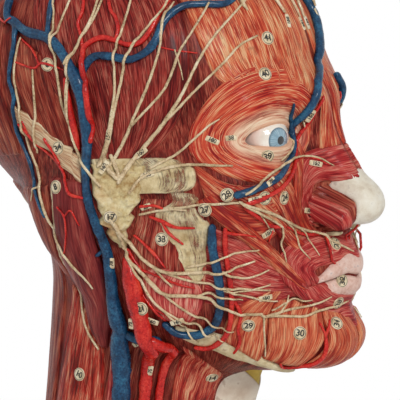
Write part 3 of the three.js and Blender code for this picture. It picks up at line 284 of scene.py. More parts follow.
def cubic_weights(t):
    return (
        ((-.5 * t + 1) * t - .5) * t,
        (1.5 * t - 2.5) * t * t + 1,
        ((-1.5 * t + 2) * t + .5) * t,
        (.5 * t - .5) * t * t,
    )


skin = Atlas(0, .5, .0025)


def value_noise(x, y, seed):
    """Smooth noise from 0 to 1 over a plane."""
    table = np.random.default_rng(seed).random((256, 256))
    xi, yi = np.floor(x).astype(int), np.floor(y).astype(int)
    fx, fy = x - xi, y - yi
    fx, fy = fx * fx * (3 - 2 * fx), fy * fy * (3 - 2 * fy)
    corner = lambda dx, dy: table[(xi + dx) % 256, (yi + dy) % 256]
    near = corner(0, 0) * (1 - fx) + corner(1, 0) * fx
    far = corner(0, 1) * (1 - fx) + corner(1, 1) * fx
    return near * (1 - fy) + far * fy


def smooth_step(low, high, value):
    share = np.clip((value - low) / (high - low), 0, 1)
    return share * share * (3 - 2 * share)


# Meshes

def make_mesh(name, points, faces, uv=None):
    """A mesh object from points in millimetres and arrays or lists of corners."""
    mesh = bpy.data.meshes.new(name)
    groups = [np.asarray(group) for group in faces if len(group)]
    corners = np.concatenate([group.ravel() for group in groups]).astype(np.int32)
    sizes = np.concatenate([np.full(len(group), group.shape[1]) for group in groups]).astype(np.int32)
    mesh.vertices.add(len(points))
    mesh.vertices.foreach_set("co", (np.asarray(points) * MM).astype(np.float32).ravel())
    mesh.loops.add(len(corners))
    mesh.loops.foreach_set("vertex_index", corners)
    mesh.polygons.add(len(sizes))
    mesh.polygons.foreach_set("loop_start", np.concatenate([[0], np.cumsum(sizes)[:-1]]).astype(np.int32))
    mesh.polygons.foreach_set("use_smooth", np.ones(len(sizes), bool))
    mesh.update(calc_edges=True)
    if uv is not None:
        layer = mesh.uv_layers.new(name="fibres")
        layer.data.foreach_set("uv", np.asarray(uv, np.float32)[corners].ravel())
    mesh.validate()
    made = bpy.data.objects.new(name, mesh)
    bpy.context.scene.collection.objects.link(made)
    return made


def grid_faces(rows, columns, wrap=False, start=0):
    """Quads over a grid of rows, whose last column may join the first."""
    row = np.arange(rows - 1)[:, None] * columns
    column = np.arange(columns if wrap else columns - 1)[None, :]
    after = (column + 1) % columns
    quads = np.stack([row + column, row + columns + column, row + columns + after, row + after], -1)
    return quads.reshape(-1, 4) + start


def fan_faces(centre, ring, flip=False):
    ring = np.asarray(ring)
    after = np.roll(ring, -1)
    faces = np.stack([np.full(len(ring), centre), ring, after], -1)
    return faces[:, ::-1] if flip else faces


def finish_piece(made, body, slot, material, *nodes):
    """Rides a body, takes its finish, and stands for the solids it replaces."""
    made.data.materials.clear()
    made.data.materials.append(material)
    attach(made, body)
    if nodes:
        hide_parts(*nodes)
    return made


def rounded_outline(width, height, corner, count):
    """Points round a rectangle with round corners, about its middle, at even angles."""
    angle = np.linspace(0, 2 * np.pi, count, endpoint=False)
    way = np.stack([np.cos(angle), np.sin(angle)], -1)
    reach = np.full(count, max(width, height))
    for _ in range(40):
        q = np.abs(reach[:, None] * way) - [width / 2 - corner, height / 2 - corner]
        gap = np.linalg.norm(np.maximum(q, 0), axis=1) + np.minimum(q.max(1), 0) - corner
        reach = reach - gap
    return reach[:, None] * way


def spline(points, count_per_stretch=12):
    """A Catmull-Rom curve through rows of numbers."""
    points = np.asarray(points, float)
    padded = np.vstack([2 * points[0] - points[1], points, 2 * points[-1] - points[-2]])
    t = np.linspace(0, 1, count_per_stretch, endpoint=False)[:, None]
    parts = []
    for k in range(len(points) - 1):
        weights = cubic_weights(t)
        parts.append(sum(weight * padded[k + n] for n, weight in enumerate(weights)))
    return np.vstack([*parts, points[-1:]])


def resampled(way, count):
    """A way over the skin, as azimuth, share and more, at equal steps of real length."""
    rough = spline(way)
    rough[:, 1] /= 1000
    place, _ = skin.place(rough[:, 0], rough[:, 1])
    steps = np.linalg.norm(np.diff(place, axis=0), axis=1)
    lengths = np.concatenate([[0], np.cumsum(steps)])
    wanted = np.linspace(0, lengths[-1], count)
    return np.stack([np.interp(wanted, lengths, column) for column in rough.T], -1), lengths[-1]


# Shading

class Socket:
    """A shader value or colour, which adds Math nodes where it is reckoned with."""

    def __init__(self, paint, output):
        self.paint = paint
        self.output = output

    def reckon(self, operation, *others):
        return self.paint.add("ShaderNodeMath", {"operation": operation}, [self, *others]).value()

    def __add__(self, other):
        return self.reckon("ADD", other)

    def __radd__(self, other):
        return self + other

    def __mul__(self, other):
        return self.reckon("MULTIPLY", other)

    def __rmul__(self, other):
        return self * other

    def __sub__(self, other):
        return self.reckon("SUBTRACT", other)

    def __rsub__(self, other):
        return self * -1 + other

    def __truediv__(self, other):
        return self.reckon("DIVIDE", other)

    def __rtruediv__(self, other):
        return self.paint.add("ShaderNodeMath", {"operation": "DIVIDE"}, [other, self]).value()

    def step(self, low, high):
        """0 below low, 1 above high, smooth between."""
        settings = {"interpolation_type": "SMOOTHSTEP"}
        return self.paint.add("ShaderNodeMapRange", settings, {"Value": self, "From Min": low, "From Max": high}).value()


class Node:
    def __init__(self, paint, node):
        self.paint = paint
        self.node = node

    def value(self, name=0):
        return Socket(self.paint, self.node.outputs[name])


class Paint:
    """A material under construction: any node comes from add, and finish sets the surface."""

    def __init__(self, name, owner=None):
        self.material = owner or bpy.data.materials.new(name)
        self.material.use_nodes = True
        self.tree = self.material.node_tree
        self.surface = self.tree.nodes["Background" if owner else "Principled BSDF"]

    def add(self, kind, settings=None, values=None):
        node = self.tree.nodes.new(kind)
        for key, value in (settings or {}).items():
            if key == "stops":
                self.set_stops(node.color_ramp, value)
            else:
                setattr(node, key, value)
        pairs = values.items() if isinstance(values, dict) else enumerate(values or [])
        for key, value in pairs:
            self.feed(node.inputs[key], value)
        return Node(self, node)

    @staticmethod
    def set_stops(ramp, stops):
        while len(ramp.elements) < len(stops):
            ramp.elements.new(.5)
        for element, (position, colour) in zip(ramp.elements, stops):
            element.position = position
            element.color = (*colour, 1)

    def feed(self, socket, value):
        if isinstance(value, Socket):
            self.tree.links.new(value.output, socket)
        else:
            socket.default_value = (*value, 1) if isinstance(value, tuple) and len(value) == 3 and len(
                socket.default_value) == 4 else value

    def place(self):
        """Object coordinates, in metres."""
        return self.add("ShaderNodeTexCoord").value("Object")

    def seen(self):
        """1 for what the camera sees, straight, mirrored or through glass, and 0 for what only lights."""
        path = self.add("ShaderNodeLightPath")
        mirrored = path.value("Is Glossy Ray").reckon("MAXIMUM", path.value("Is Transmission Ray"))
        return path.value("Is Camera Ray").reckon("MAXIMUM", mirrored)

    def fibres(self):
        """The piece's own coordinates in centimetres: across the fibres, then along them."""
        return self.add("ShaderNodeUVMap", {"uv_map": "fibres"}).value()

    def scaled(self, vector, scale, shift=(0, 0, 0)):
        return self.add("ShaderNodeMapping", None, {"Vector": vector, "Scale": scale, "Location": shift}).value()

    def noise(self, vector, scale, detail=2.0, roughness=.5):
        values = {"Vector": vector, "Scale": scale, "Detail": detail, "Roughness": roughness}
        return self.add("ShaderNodeTexNoise", None, values).value("Fac")

    def ramp(self, factor, stops):
        return self.add("ShaderNodeValToRGB", {"stops": stops}, {"Fac": factor}).value("Color")

    def mix(self, factor, first, second, blend="MIX"):
        node = self.add("ShaderNodeMix", {"data_type": "RGBA", "blend_type": blend})
        for key, value in ((0, factor), (6, first), (7, second)):
            self.feed(node.node.inputs[key], value)
        return node.value(2)

    def bump(self, height, distance, strength=1.0):
        return self.add("ShaderNodeBump", None, {"Height": height, "Distance": distance, "Strength": strength}).value()

    def finish(self, **values):
        for key, value in values.items():
            self.feed(self.surface.inputs[key.replace("_", " ").title().replace("Ior", "IOR")], value)
        return self.material


def bare_bone(paint, colour):
    """Shows bone where a mesh says so: inside the skull and on its sawn rim."""
    bone = paint.add("ShaderNodeAttribute", {"attribute_name": "bone"}).value("Fac")
    cloud = paint.noise(paint.place(), 80, 5, .65)
    cream = paint.ramp(cloud, [(.32, (.50, .30, .17)), (.5, (.66, .50, .32)), (.7, (.74, .63, .45))])
    return paint.mix(bone.step(.08, .14), colour, cream)


def set_bone(made, ring_is_bone, count):
    layer = made.data.attributes.new("bone", "FLOAT", "POINT")
    value = np.zeros(len(made.data.vertices), np.float32)
    value[:len(ring_is_bone) * count] = np.repeat(ring_is_bone, count)
    value[-2] = value[-1] = ring_is_bone[0]
    layer.data.foreach_set("value", value)


def fibre_paint(name, deep, body, light, pale, bold=.35, gain=2.4, pale_lines=.5, seed=.0, gloss=.36, bone=False):
    """Long brush strokes along the fibres, from deep red to cream, under an old varnish."""
    paint = Paint(name)
    uv = paint.fibres()
    shift = (seed, seed * 2.3, seed * 5.1)
    broad = paint.noise(paint.scaled(uv, (3.4, .35, 1), shift), 1.0, 2)
    streak = paint.noise(paint.scaled(uv, (13, .8, 1), shift), 1.0, 2, .6)
    thin = paint.noise(paint.scaled(uv, (34, 1.1, 1), shift), 1.0, 2, .6)
    patchy = paint.noise(paint.place(), 45, 3)
    tone = broad * bold + streak * (.6 - bold * .4) + thin * (.4 - bold * .6) + (patchy - .5) * .2
    tone = (tone - .5) * gain + .5
    colour = paint.ramp(tone, [(.24, deep), (.46, body), (.65, light), (.88, pale)])
    lines = thin.step(.54, .60) * broad.step(.34, .56) * pale_lines
    colour = paint.mix(lines, colour, pale)
    colour = paint.mix((1 - thin.step(.36, .43)) * .6, colour, tuple(.5 * part for part in deep))
    grime = paint.noise(paint.place(), 220, 4).step(.56, .72) * .3
    colour = paint.mix(grime, colour, (.09, .04, .025))
    if bone:
        colour = bare_bone(paint, colour)
    relief = paint.bump(streak * .6 + thin * .4, .0007, .7)
    return paint.finish(base_color=colour, roughness=patchy * .2 + (gloss - .1), normal=relief,
                        specular_IOR_level=.06, coat_weight=.06, coat_roughness=.16)


def cream_paint(name, shade, base, light, stain, gloss=.45, lumps=260.0, depth=.0006, thin=False):
    """Painted gristle, bone or fascia: clouded, wrinkled and stained with age; a thin one shows what lies under."""
    paint = Paint(name)
    place = paint.place()
    cloud = paint.noise(place, 70, 5, .65)
    fleck = paint.noise(place, lumps, 4, .65)
    tone = (cloud * .55 + fleck * .45 - .5) * 2.0 + .5
    colour = paint.ramp(tone, [(.2, shade), (.5, base), (.8, light)])
    colour = paint.mix(paint.noise(place, 34, 3).step(.54, .72) * .4, colour, stain)
    colour = paint.mix(fleck.step(.60, .70) * .45, colour, tuple(.5 * part for part in stain))
    if thin:
        streak = paint.noise(paint.scaled(paint.fibres(), (14, 1.3, 1)), 1.0, 3)
        worn = paint.noise(place, 75, 4, .6) * .72 + streak * .28
        paint.finish(alpha=worn.step(.38, .56) * .85 + .15)
    return paint.finish(base_color=colour, roughness=fleck * .3 + (gloss - .15), normal=paint.bump(fleck, depth, .8),
                        specular_IOR_level=.1, coat_weight=.06, coat_roughness=.2)


def cord_paint(name, deep, body, light, gloss=.2):
    """Wrinkled glossy enamel on a wound cord, with painted highlight on its lumps and painted shade in its hollows."""
    paint = Paint(name)
    place = paint.place()
    cloud = paint.noise(place, 130, 4, .65)
    wrinkle = paint.noise(place, 900, 4, .65)
    # Tone follows the bump's heights: partly random mottling, partly painted highlight on the tops and painted shade in
    # the lows
    tone = (cloud * .6 + wrinkle * .4 - .5) * 1.8 + .5
    colour = paint.ramp(tone, [(.2, deep), (.5, body), (.8, light)])
    # Painted shade: a darker colour in the hollows of the wrinkles
    colour = paint.mix((1 - wrinkle.step(.34, .42)) * .5, colour, tuple(.4 * part for part in deep))
    return paint.finish(base_color=colour, roughness=wrinkle * .25 + (gloss - .08),
                        normal=paint.bump(wrinkle * .5 + cloud * .5, .0007, .8),
                        specular_IOR_level=.1, coat_weight=.3, coat_roughness=.08)


CREAM = (.70, .44, .24)
PINK = (.66, .30, .22)
DARK = (.075, .006, .006)
CRIMSON = (.22, .012, .014)

PAINTS = {
    "flesh": fibre_paint("deep_flesh", (.06, .005, .004), (.16, .014, .010), (.28, .04, .026),
                         (.44, .14, .08), bone=True),
    "forehead": fibre_paint("forehead_fibres", (.36, .03, .016), (.56, .085, .038), (.64, .20, .085), CREAM,
                            .2, 2.9, .75, 3.1),
    "temple": fibre_paint("temple_fibres", DARK, (.19, .014, .012), (.33, .035, .026), (.48, .17, .11),
                          .3, 2.4, .55, 7.7),
    "ring": fibre_paint("ring_fibres", CRIMSON, (.5, .05, .025), (.62, .17, .075), CREAM, .3, 2.6, .7, 1.9),
    "cheek": fibre_paint("cheek_fibres", CRIMSON, (.46, .042, .022), (.60, .15, .07), CREAM, .4, 2.6, .6,
                         5.2),
    "mouth": fibre_paint("mouth_fibres", (.20, .01, .014), (.40, .028, .028), (.55, .09, .07), PINK, .35,
                         2.4, .6, 9.4),
    "chew": fibre_paint("chewing_fibres", DARK, (.26, .022, .016), (.42, .07, .045), (.58, .30, .18), .4,
                        2.4, .55, 2.6),
    "rose": fibre_paint("rose_fibres", (.28, .014, .02), (.48, .045, .045), (.62, .16, .12),
                        (.74, .38, .28), .35, 2.4, .6, 4.4),
    "chin": fibre_paint("chin_fibres", (.30, .02, .014), (.54, .09, .04), (.66, .23, .11), CREAM, .5, 2.5,
                        .6, 6.3),
    "nape": fibre_paint("nape_fibres", DARK, (.22, .022, .014), (.38, .08, .045), (.52, .22, .12), .5,
                        2.0, .35, 8.8),
    "neck": fibre_paint("neck_fibres", (.16, .008, .008), (.40, .028, .02), (.56, .11, .06),
                        (.70, .38, .22), .45, 2.4, .55, 10.2),
    "stump": fibre_paint("stump_fibres", (.10, .008, .012), (.19, .022, .022), (.28, .04, .034),
                         (.42, .14, .10), .6, 1.8, .2, 12.5),
    "levator": fibre_paint("levator_fibres", (.12, .008, .006), (.38, .018, .012), (.52, .06, .035),
                           (.66, .34, .20), .55, 2.6, .6, 14.1),
    "tendon": fibre_paint("tendon_fibres", (.36, .11, .06), (.54, .32, .18), (.66, .50, .31),
                          (.76, .64, .44), .3, 2.0, .5, 11.3),
    "fascia": cream_paint("white_fascia", (.42, .29, .13), (.68, .56, .33), (.80, .72, .50), (.46, .20, .11),
                          thin=True),
    "bone": cream_paint("jaw_bone", (.46, .34, .17), (.68, .56, .34), (.78, .70, .50), (.44, .16, .08)),
    "cartilage": cream_paint("nose_gristle", (.56, .46, .34), (.74, .68, .56), (.82, .79, .70),
                             (.50, .32, .24), .4, 160, .0004),
    "lips": cream_paint("lip_skin", (.56, .30, .23), (.72, .50, .42), (.78, .65, .58), (.46, .26, .30), .36,
                        420, .0004),
    "gland": cream_paint("gland_lobes", (.34, .20, .07), (.62, .50, .26), (.76, .69, .45), (.50, .20, .10),
                         .45, 420, .0009),
    "vein": cord_paint("vein_blue_enamel", (.002, .012, .034), (.008, .052, .12), (.03, .15, .26)),
    "artery": cord_paint("artery_red_enamel", (.24, .004, .004), (.55, .016, .012), (.70, .07, .04)),
    "nerve": cord_paint("nerve_cream_enamel", (.30, .19, .09), (.62, .47, .28), (.80, .70, .50), .38),
}
SLOTS = {"vein": "vein_blue", "artery": "artery_red", "nerve": "nerve_cream"}


# The head's own body, with the brain's hollow open at the top

SKIN_UNDER = -.6


def almond(azimuth, share):
    """1 inside the opening of the lids and a little past it, and 0 outside."""
    x = np.abs(azimuth) - 23.6
    y = share - .3705
    across = np.where(x > 0, x / 13.5, x / 13.5)
    down = np.where(y > 0, y / .034, y / .038)
    return 1 - smooth_step(.72, .95, np.sqrt(across ** 2 + down ** 2))


def seam_shares(atlas, azimuths, height):
    """The share at which each azimuth's skin meets the seam."""
    shares = np.linspace(.02, .32, 151)
    a, w = np.meshgrid(azimuths, shares, indexing="ij")
    a = (a + 180) % 360 - 180
    start, way = rays(np.abs(a), w)
    z = (start + atlas.read(atlas.reach, a, w)[..., None] * way)[..., 2]
    return np.array([np.interp(-height, -row, shares) for row in z])


def hollow_ring(angles, height, level, oval):
    """Points of a level's outline at a height, in the upright frame, seen from the brain's middle."""
    middle = np.array([BRAIN_CENTRE_SHARE * HEAD_LENGTH, 0, height])
    angles = np.radians(angles)
    way = np.stack([np.cos(angles), -np.sin(angles), 0 * angles], -1)
    reach = np.full(len(angles), 95.0)
    for _ in range(30):
        points = middle + reach[:, None] * way
        gap = form_distance(points) - level
        if oval:
            radii = np.array([BRAIN_LENGTH / 2 + BRAIN_CLEARANCE, BRAIN_BREADTH / 2 + BRAIN_CLEARANCE])
            q = (points[:, :2] - middle[:2]) / radii
            near, far = np.linalg.norm(q, axis=1), np.linalg.norm(q / radii, axis=1)
            gap = np.maximum(gap, near * (near - 1) / np.maximum(far, 1e-9))
        reach = reach - .8 * gap
    return middle + reach[:, None] * way


head_azimuths = np.concatenate([np.arange(-180, -60, 1.5), np.arange(-60, 60, .75), np.arange(60, 180, 1.5)])


def build_head():
    count = len(head_azimuths)
    top = seam_shares(skin, head_azimuths, SEAM - PIECE_GAP / 2)
    rows = np.linspace(0, 1, 176)
    shares = top[None, :] * (1 - rows[:, None]) + rows[:, None]
    azimuths = np.broadcast_to(head_azimuths, shares.shape)
    lift = np.full(shares.shape, SKIN_UNDER) - 6.0 * almond(azimuths, shares)
    lift[0] = SKIN_UNDER
    outer, _ = skin.place(azimuths, shares, lift)
    heights = np.linspace(SEAM - PIECE_GAP / 2, BRAIN_FLOOR, 24)
    inner = np.array([tilted(hollow_ring(head_azimuths, height, -SKULL_WALL, True)) + HEAD_PLACE
                      for height in heights])
    floor_height = heads_floor()
    outer[-1, :, 2] = floor_height
    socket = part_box("neck_socket")
    radius = (socket[1].x - socket[0].x) / 2 / MM + PIECE_GAP
    depth = (socket[1].z - socket[0].z) / MM + PIECE_GAP
    angle = np.radians(head_azimuths)
    hole = np.stack([radius * np.cos(angle), -radius * np.sin(angle), np.full(count, floor_height)], -1)
    hole_top = hole + [0, 0, depth]
    rings = [*inner[::-1], *outer, hole, hole_top]
    points = np.vstack([np.concatenate(rings), inner[-1].mean(0)[None], hole_top.mean(0)[None]])
    quads = grid_faces(len(rings), count, wrap=True)
    last = len(rings) * count
    caps = [fan_faces(last, np.arange(count), flip=True), fan_faces(last + 1, np.arange(count) + last - count)]
    ring_index = np.repeat(np.arange(len(rings)), count)
    uv = np.stack([np.tile(head_azimuths, len(rings)) * .14, ring_index * .25], -1)
    uv = np.vstack([uv, [[0, 0], [0, 0]]])
    made = make_mesh("head_flesh", points, [quads, *caps], uv)
    set_bone(made, np.arange(len(rings)) < len(inner), count)
    return finish_piece(made, "head", "painted_flesh", PAINTS["flesh"], "head_core")


def heads_floor():
    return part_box("head_core")[0].z / MM


head = build_head()


# Muscles, each a sheet of fibres laid between two edges: paint, height, belly, and the edges'
# places as the azimuth in degrees and the share of the way down in thousandths

MUSCLE_SHARES = {
    "frontalis": ("forehead", .5, .5,
        [(1, 150), (1, 200), (1, 250), (2.5, 300), (7, 325)],
        [(46, 150), (44, 200), (42, 245), (39, 280), (33, 300)]),
    "temporalis": ("temple", .4, 1.2,
        [(48, 150), (45, 200), (46, 250), (51, 305), (59, 350), (67, 385)],
        [(107, 150), (103, 200), (98, 250), (93, 310), (88, 360), (85, 385)]),
    "auricularis": ("nape", .3, .4,
        [(95, 225), (93.5, 265), (92, 305), (91, 350)],
        [(114, 190), (112.5, 240), (110, 280), (108, 310)]),
    "occipitalis": ("nape", .3, .6,
        [(117, 180), (117.5, 240), (118, 290), (119, 350)],
        [(155, 190), (155, 250), (154, 300), (153, 360)]),
    "nuchal_fascia": ("tendon", .7, .3,
        [(115, 268), (111, 278), (106, 290), (102, 303), (95.5, 330), (88.7, 366)],
        [(116, 300), (111.5, 310), (107.5, 330), (103, 352), (96, 395), (88.7, 430)]),
    "trapezius": ("nape", .4, 1,
        [(130, 460), (124.5, 560), (123, 630), (126, 700), (127, 780), (126.5, 880), (126, 995)],
        [(177, 420), (177, 520), (177, 620), (177, 700), (177, 800), (177, 900), (177, 995)]),
    "splenius": ("nape", .4, 1,
        [(104.5, 420), (105.5, 500), (109, 575), (114, 645), (117.5, 700)],
        [(128, 440), (123, 540), (122, 600), (123, 660), (123.5, 705)]),
    "levator": ("levator", .4, 1.4,
        [(98.5, 757), (95, 790), (94, 840), (93.5, 900), (93.5, 995)],
        [(120, 715), (124, 765), (124, 820), (123.5, 900), (123, 995)]),
    "scalene": ("rose", .4, .6,
        [(87.5, 768), (86.5, 830), (86, 900), (86, 995)],
        [(95, 762), (92.8, 820), (92, 900), (92, 995)]),
    "sternomastoid": ("stump", 1.1, 3.4,
        [(89, 415), (89, 480), (91, 550), (93, 620), (95, 685), (96, 730), (96.5, 757)],
        [(103, 400), (103, 455), (107, 550), (111.5, 630), (115.5, 698), (109, 742), (99.5, 758)]),
    "sternohyoid": ("neck", .6, 1.3,
        [(29, 755), (25.5, 785), (26.5, 802), (31, 816), (31, 860), (31, 920), (31, 995)],
        [(67, 700), (64, 730), (61, 760), (59, 810), (58, 860), (57, 920), (56, 995)]),
    "masseter": ("chew", .5, 1.6,
        [(50, 462), (49.5, 520), (50.5, 570), (53, 610), (57, 650)],
        [(71, 462), (75, 520), (80, 575), (81, 610), (78, 660)]),
    "masseter_lobe": ("rose", 1.2, 1.8,
        [(57, 588), (53.2, 602), (53.6, 624), (57, 645), (63, 661)],
        [(63, 582), (71, 592), (75.5, 612), (77, 638), (73, 661)]),
    "masseter_tendon": ("fascia", 1.9, .2,
        [(53, 448), (51, 470), (50, 500), (50.5, 540), (51.5, 575), (54.5, 600)],
        [(61, 445), (59.5, 465), (65.5, 492), (65, 525), (61, 565), (56.5, 601)]),
    "parotid": ("gland", 2.2, 1.2,
        [(68, 395), (69, 430), (71.5, 475), (77, 520), (81.2, 578)],
        [(87, 380), (87, 430), (86.8, 480), (86, 530), (83.2, 580)]),
    "zygomatic_fascia": ("fascia", .9, .5,
        [(57, 384), (51.5, 400), (50.5, 420), (53, 440), (60, 452)],
        [(86, 366), (86, 380), (85, 395), (82, 425), (74, 455)]),
    "buccinator": ("mouth", .1, .5,
        [(51, 500), (42, 510), (33, 530), (24, 550), (19, 560)],
        [(54, 625), (44, 620), (35, 610), (27, 597), (21, 585)]),
    "malar_sheet": ("cheek", .3, .4,
        [(27, 428), (36, 432), (44, 425), (51.5, 392)],
        [(24, 500), (32, 520), (42, 515), (49.5, 475)]),
    "levator_labii": ("cheek", .8, .8,
        [(23, 425), (19, 450), (16, 480), (12, 520)],
        [(35, 435), (30, 465), (24.5, 500), (18, 532)]),
    "levator_nasi": ("cheek", .7, .6,
        [(8, 335), (9, 370), (10.5, 410), (12.5, 450), (12, 490), (9.5, 520)],
        [(13, 350), (15, 390), (18, 430), (19.5, 465), (17, 500), (13, 530)]),
    "nasalis": ("mouth", .9, .8,
        [(16, 430), (11, 405), (5, 395), (.6, 395)],
        [(15.5, 485), (11.5, 468), (6, 448), (.6, 437)]),
    "nose_wing": ("mouth", .6, .7,
        [(6.8, 430), (7.6, 452), (8, 473), (6.8, 494)],
        [(15.5, 440), (17.5, 460), (18.5, 485), (13, 507)]),
    "lip_ligament": ("bone", .7, .2,
        [(3.6, 502), (3.6, 508), (3.6, 515)],
        [(10.5, 505), (10.5, 510), (10.5, 517)]),
    "procerus": ("cheek", .6, .5,
        [(.6, 290), (.6, 325), (.6, 360), (.6, 398)],
        [(8, 300), (6.5, 330), (6.5, 365), (7.5, 405)]),
    "zygomaticus_minor": ("cheek", 1.4, .7,
        [(40, 430), (33, 455), (26, 485), (19, 515), (13, 530)],
        [(45, 440), (38, 468), (30.5, 498), (23, 530), (16, 545)]),
    "zygomaticus_major": ("cheek", 1.7, .9,
        [(48, 445), (41, 475), (33, 510), (24, 545), (18, 563)],
        [(53, 463), (45, 497), (36, 532), (27, 562), (19, 578)]),
    "depressor_anguli": ("chin", 1.3, .6,
        [(25, 578), (29, 600), (31, 630), (32, 660)],
        [(31, 580), (40, 605), (45.5, 635), (47, 662)]),
    "depressor_labii": ("chin", .8, .6,
        [(11, 585), (12, 600), (14.5, 620), (18, 645)],
        [(27, 590), (30, 607), (31, 630), (32, 655)]),
    "mentalis": ("chin", 1, .8,
        [(.8, 582), (.8, 600), (.8, 620), (.8, 645)],
        [(12, 584), (12, 600), (13.5, 620), (17, 645)]),
    "jaw_edge": ("bone", .6, .5,
        [(68, 665), (58, 662), (48, 654), (38, 652), (26, 652), (12, 656)],
        [(68, 684), (57, 690), (47, 683), (38, 672), (26, 664), (12, 664)]),
}
MIDDLE_SHARES = {
    "nose_cartilage": ("cartilage", .7, .3,
        [(-4.6, 425), (-5.6, 450), (-6.2, 475), (-5, 495)],
        [(4.6, 425), (5.6, 450), (6.2, 475), (5, 495)]),
    "upper_lip": ("lips", 1, .9,
        [(18.5, 570.5), (12, 545), (4, 527.5), (0, 531), (-4, 527.5), (-12, 545), (-18.5, 570.5)],
        [(18.7, 572.5), (12, 561.5), (5, 551), (0, 550.5), (-5, 551), (-12, 561.5), (-18.7, 572.5)]),
    "lower_lip": ("lips", 1, .9,
        [(18.7, 572.5), (12, 562.5), (5, 552), (0, 551.5), (-5, 552), (-12, 562.5), (-18.7, 572.5)],
        [(18, 574.5), (12, 579.5), (5, 576.5), (0, 575.5), (-5, 576.5), (-12, 579.5), (-18, 574.5)]),
}
EDGE_ROUND = 2.2
RIM_DROP = 1.4
COLUMN_STEP, ROW_STEP = .6, 1.7
RIDGE = .28
# Sheets cut with ragged edges, and how far the tears wander
TORN_PAINTS, TEAR_DEGREES = ("fascia", "bone", "gland", "tendon"), 3.0


def closed_sheet(name, grid, uv, under):
    """A sheet of rows and columns closed by a coarser underside."""
    rows, columns = grid.shape[:2]
    kept = np.unique(np.concatenate([np.arange(0, columns - 1, 8), [columns - 1]]))
    inner = kept[1:-1]
    below = under[1:-1][:, inner].reshape(-1, 3)
    points = np.vstack([grid.reshape(-1, 3), below])
    lookup = np.zeros((rows, len(kept)), int)
    for place, column in enumerate(kept):
        lookup[:, place] = np.arange(rows) * columns + column
    if len(inner):
        start = rows * columns
        lookup[1:-1, 1:-1] = start + np.arange(len(below)).reshape(rows - 2, len(inner))
    under_quads = np.stack([lookup[:-1, :-1], lookup[:-1, 1:], lookup[1:, 1:], lookup[1:, :-1]], -1).reshape(-1, 4)
    faces = [grid_faces(rows, columns), under_quads]
    for row, flip in ((0, False), (rows - 1, True)):
        for first, second in zip(kept[:-1], kept[1:]):
            if second - first > 1:
                ring = row * columns + np.arange(first, second + 1)
                faces.append([ring[::-1] if flip else ring])
    full_uv = np.vstack([uv.reshape(-1, 2), uv[1:-1][:, inner].reshape(-1, 2)])
    return make_mesh(name, points, faces, full_uv)


def recalculated(made):
    """Turns every face outwards."""
    bpy.context.view_layer.objects.active = made
    made.select_set(True)
    bpy.ops.object.mode_set(mode="EDIT")
    bpy.ops.mesh.select_all(action="SELECT")
    bpy.ops.mesh.normals_make_consistent(inside=False)
    bpy.ops.object.mode_set(mode="OBJECT")
    made.select_set(False)
    return made


def sheet_lift(u, v, width, length, lift, belly, seed, spongy):
    """The height of a sheet over the skin: rounded edges, a belly, and ridges of fibres."""
    from_edge = np.minimum(np.minimum(u, 1 - u) * width, np.minimum(v, 1 - v) * length)
    inside = np.sqrt(np.clip(1 - (1 - np.clip(from_edge / EDGE_ROUND, 0, 1)) ** 2, 0, 1))
    height = -RIM_DROP + (lift + RIM_DROP) * inside
    height = height + belly * 4 * u * (1 - u) * np.sin(np.pi * np.clip(v, 0, 1)) ** .7
    across, along = u * width, v * length
    ridges = value_noise(across / 1.3, along / 16, seed) + .5 * value_noise(across / .7, along / 11, seed + 1)
    folds = value_noise(across / 4.5, along / 30, seed + 2)
    if spongy:
        lumps = value_noise(across / 2.6, along / 2.6, seed + 3) + .6 * value_noise(across / 1.2, along / 1.2, seed + 4)
        return height + inside * 1.5 * (lumps - .8)
    return height + inside * (RIDGE * (ridges - .75) + 1.6 * RIDGE * (folds - .5))


def build_sheet(name, shares, side, number):
    paint, lift, belly, first, second = shares
    rough_first, length_first = resampled(first, 40)
    rough_second, length_second = resampled(second, 40)
    length = (length_first + length_second) / 2
    ends = [skin.place(edge[:, 0], edge[:, 1])[0] for edge in (rough_first, rough_second)]
    widths = np.linalg.norm(ends[0] - ends[1], axis=1)
    columns = max(6, math.ceil(widths.max() / COLUMN_STEP))
    rows = max(8, math.ceil(length / (COLUMN_STEP if paint == "gland" else ROW_STEP)))
    edges = [resampled(edge, rows + 1)[0] for edge in (first, second)]
    width = np.interp(np.linspace(0, 1, rows + 1), np.linspace(0, 1, 40), widths)[:, None]
    u, v = np.meshgrid(np.linspace(0, 1, columns + 1), np.linspace(0, 1, rows + 1))
    spots = edges[0][:, None, :] * (1 - u[..., None]) + edges[1][:, None, :] * u[..., None]
    if paint in TORN_PAINTS:
        torn = value_noise(np.array([3.0, 9.0])[:, None] + 0 * v[:, 0], v[:, 0] * length / 3.5, number) - .5
        tear = TEAR_DEGREES * (torn[0][:, None] * (1 - u) ** 2 + torn[1][:, None] * u ** 2)
        spots = spots + np.stack([tear, 0 * tear], -1)
    azimuths, shares = spots[..., 0] * side, spots[..., 1]
    if shares.min() < .17 and name in ("frontalis", "temporalis"):
        top = seam_shares(skin, azimuths[0], SEAM - PIECE_GAP)
        fade = np.clip(1 - v * 3, 0, 1) ** 2
        shares = shares + (top - shares[0]) * fade
    height = sheet_lift(u, v, width, length, lift, belly, number * 7, paint == "gland")
    grid, _ = skin.place(azimuths, shares, height)
    under, _ = skin.place(azimuths, shares, np.full(shares.shape, -RIM_DROP))
    uv = np.stack([u * widths.mean() / 10 + number, v * length / 10], -1)
    made = closed_sheet(name, grid, uv, under)
    return recalculated(made), paint


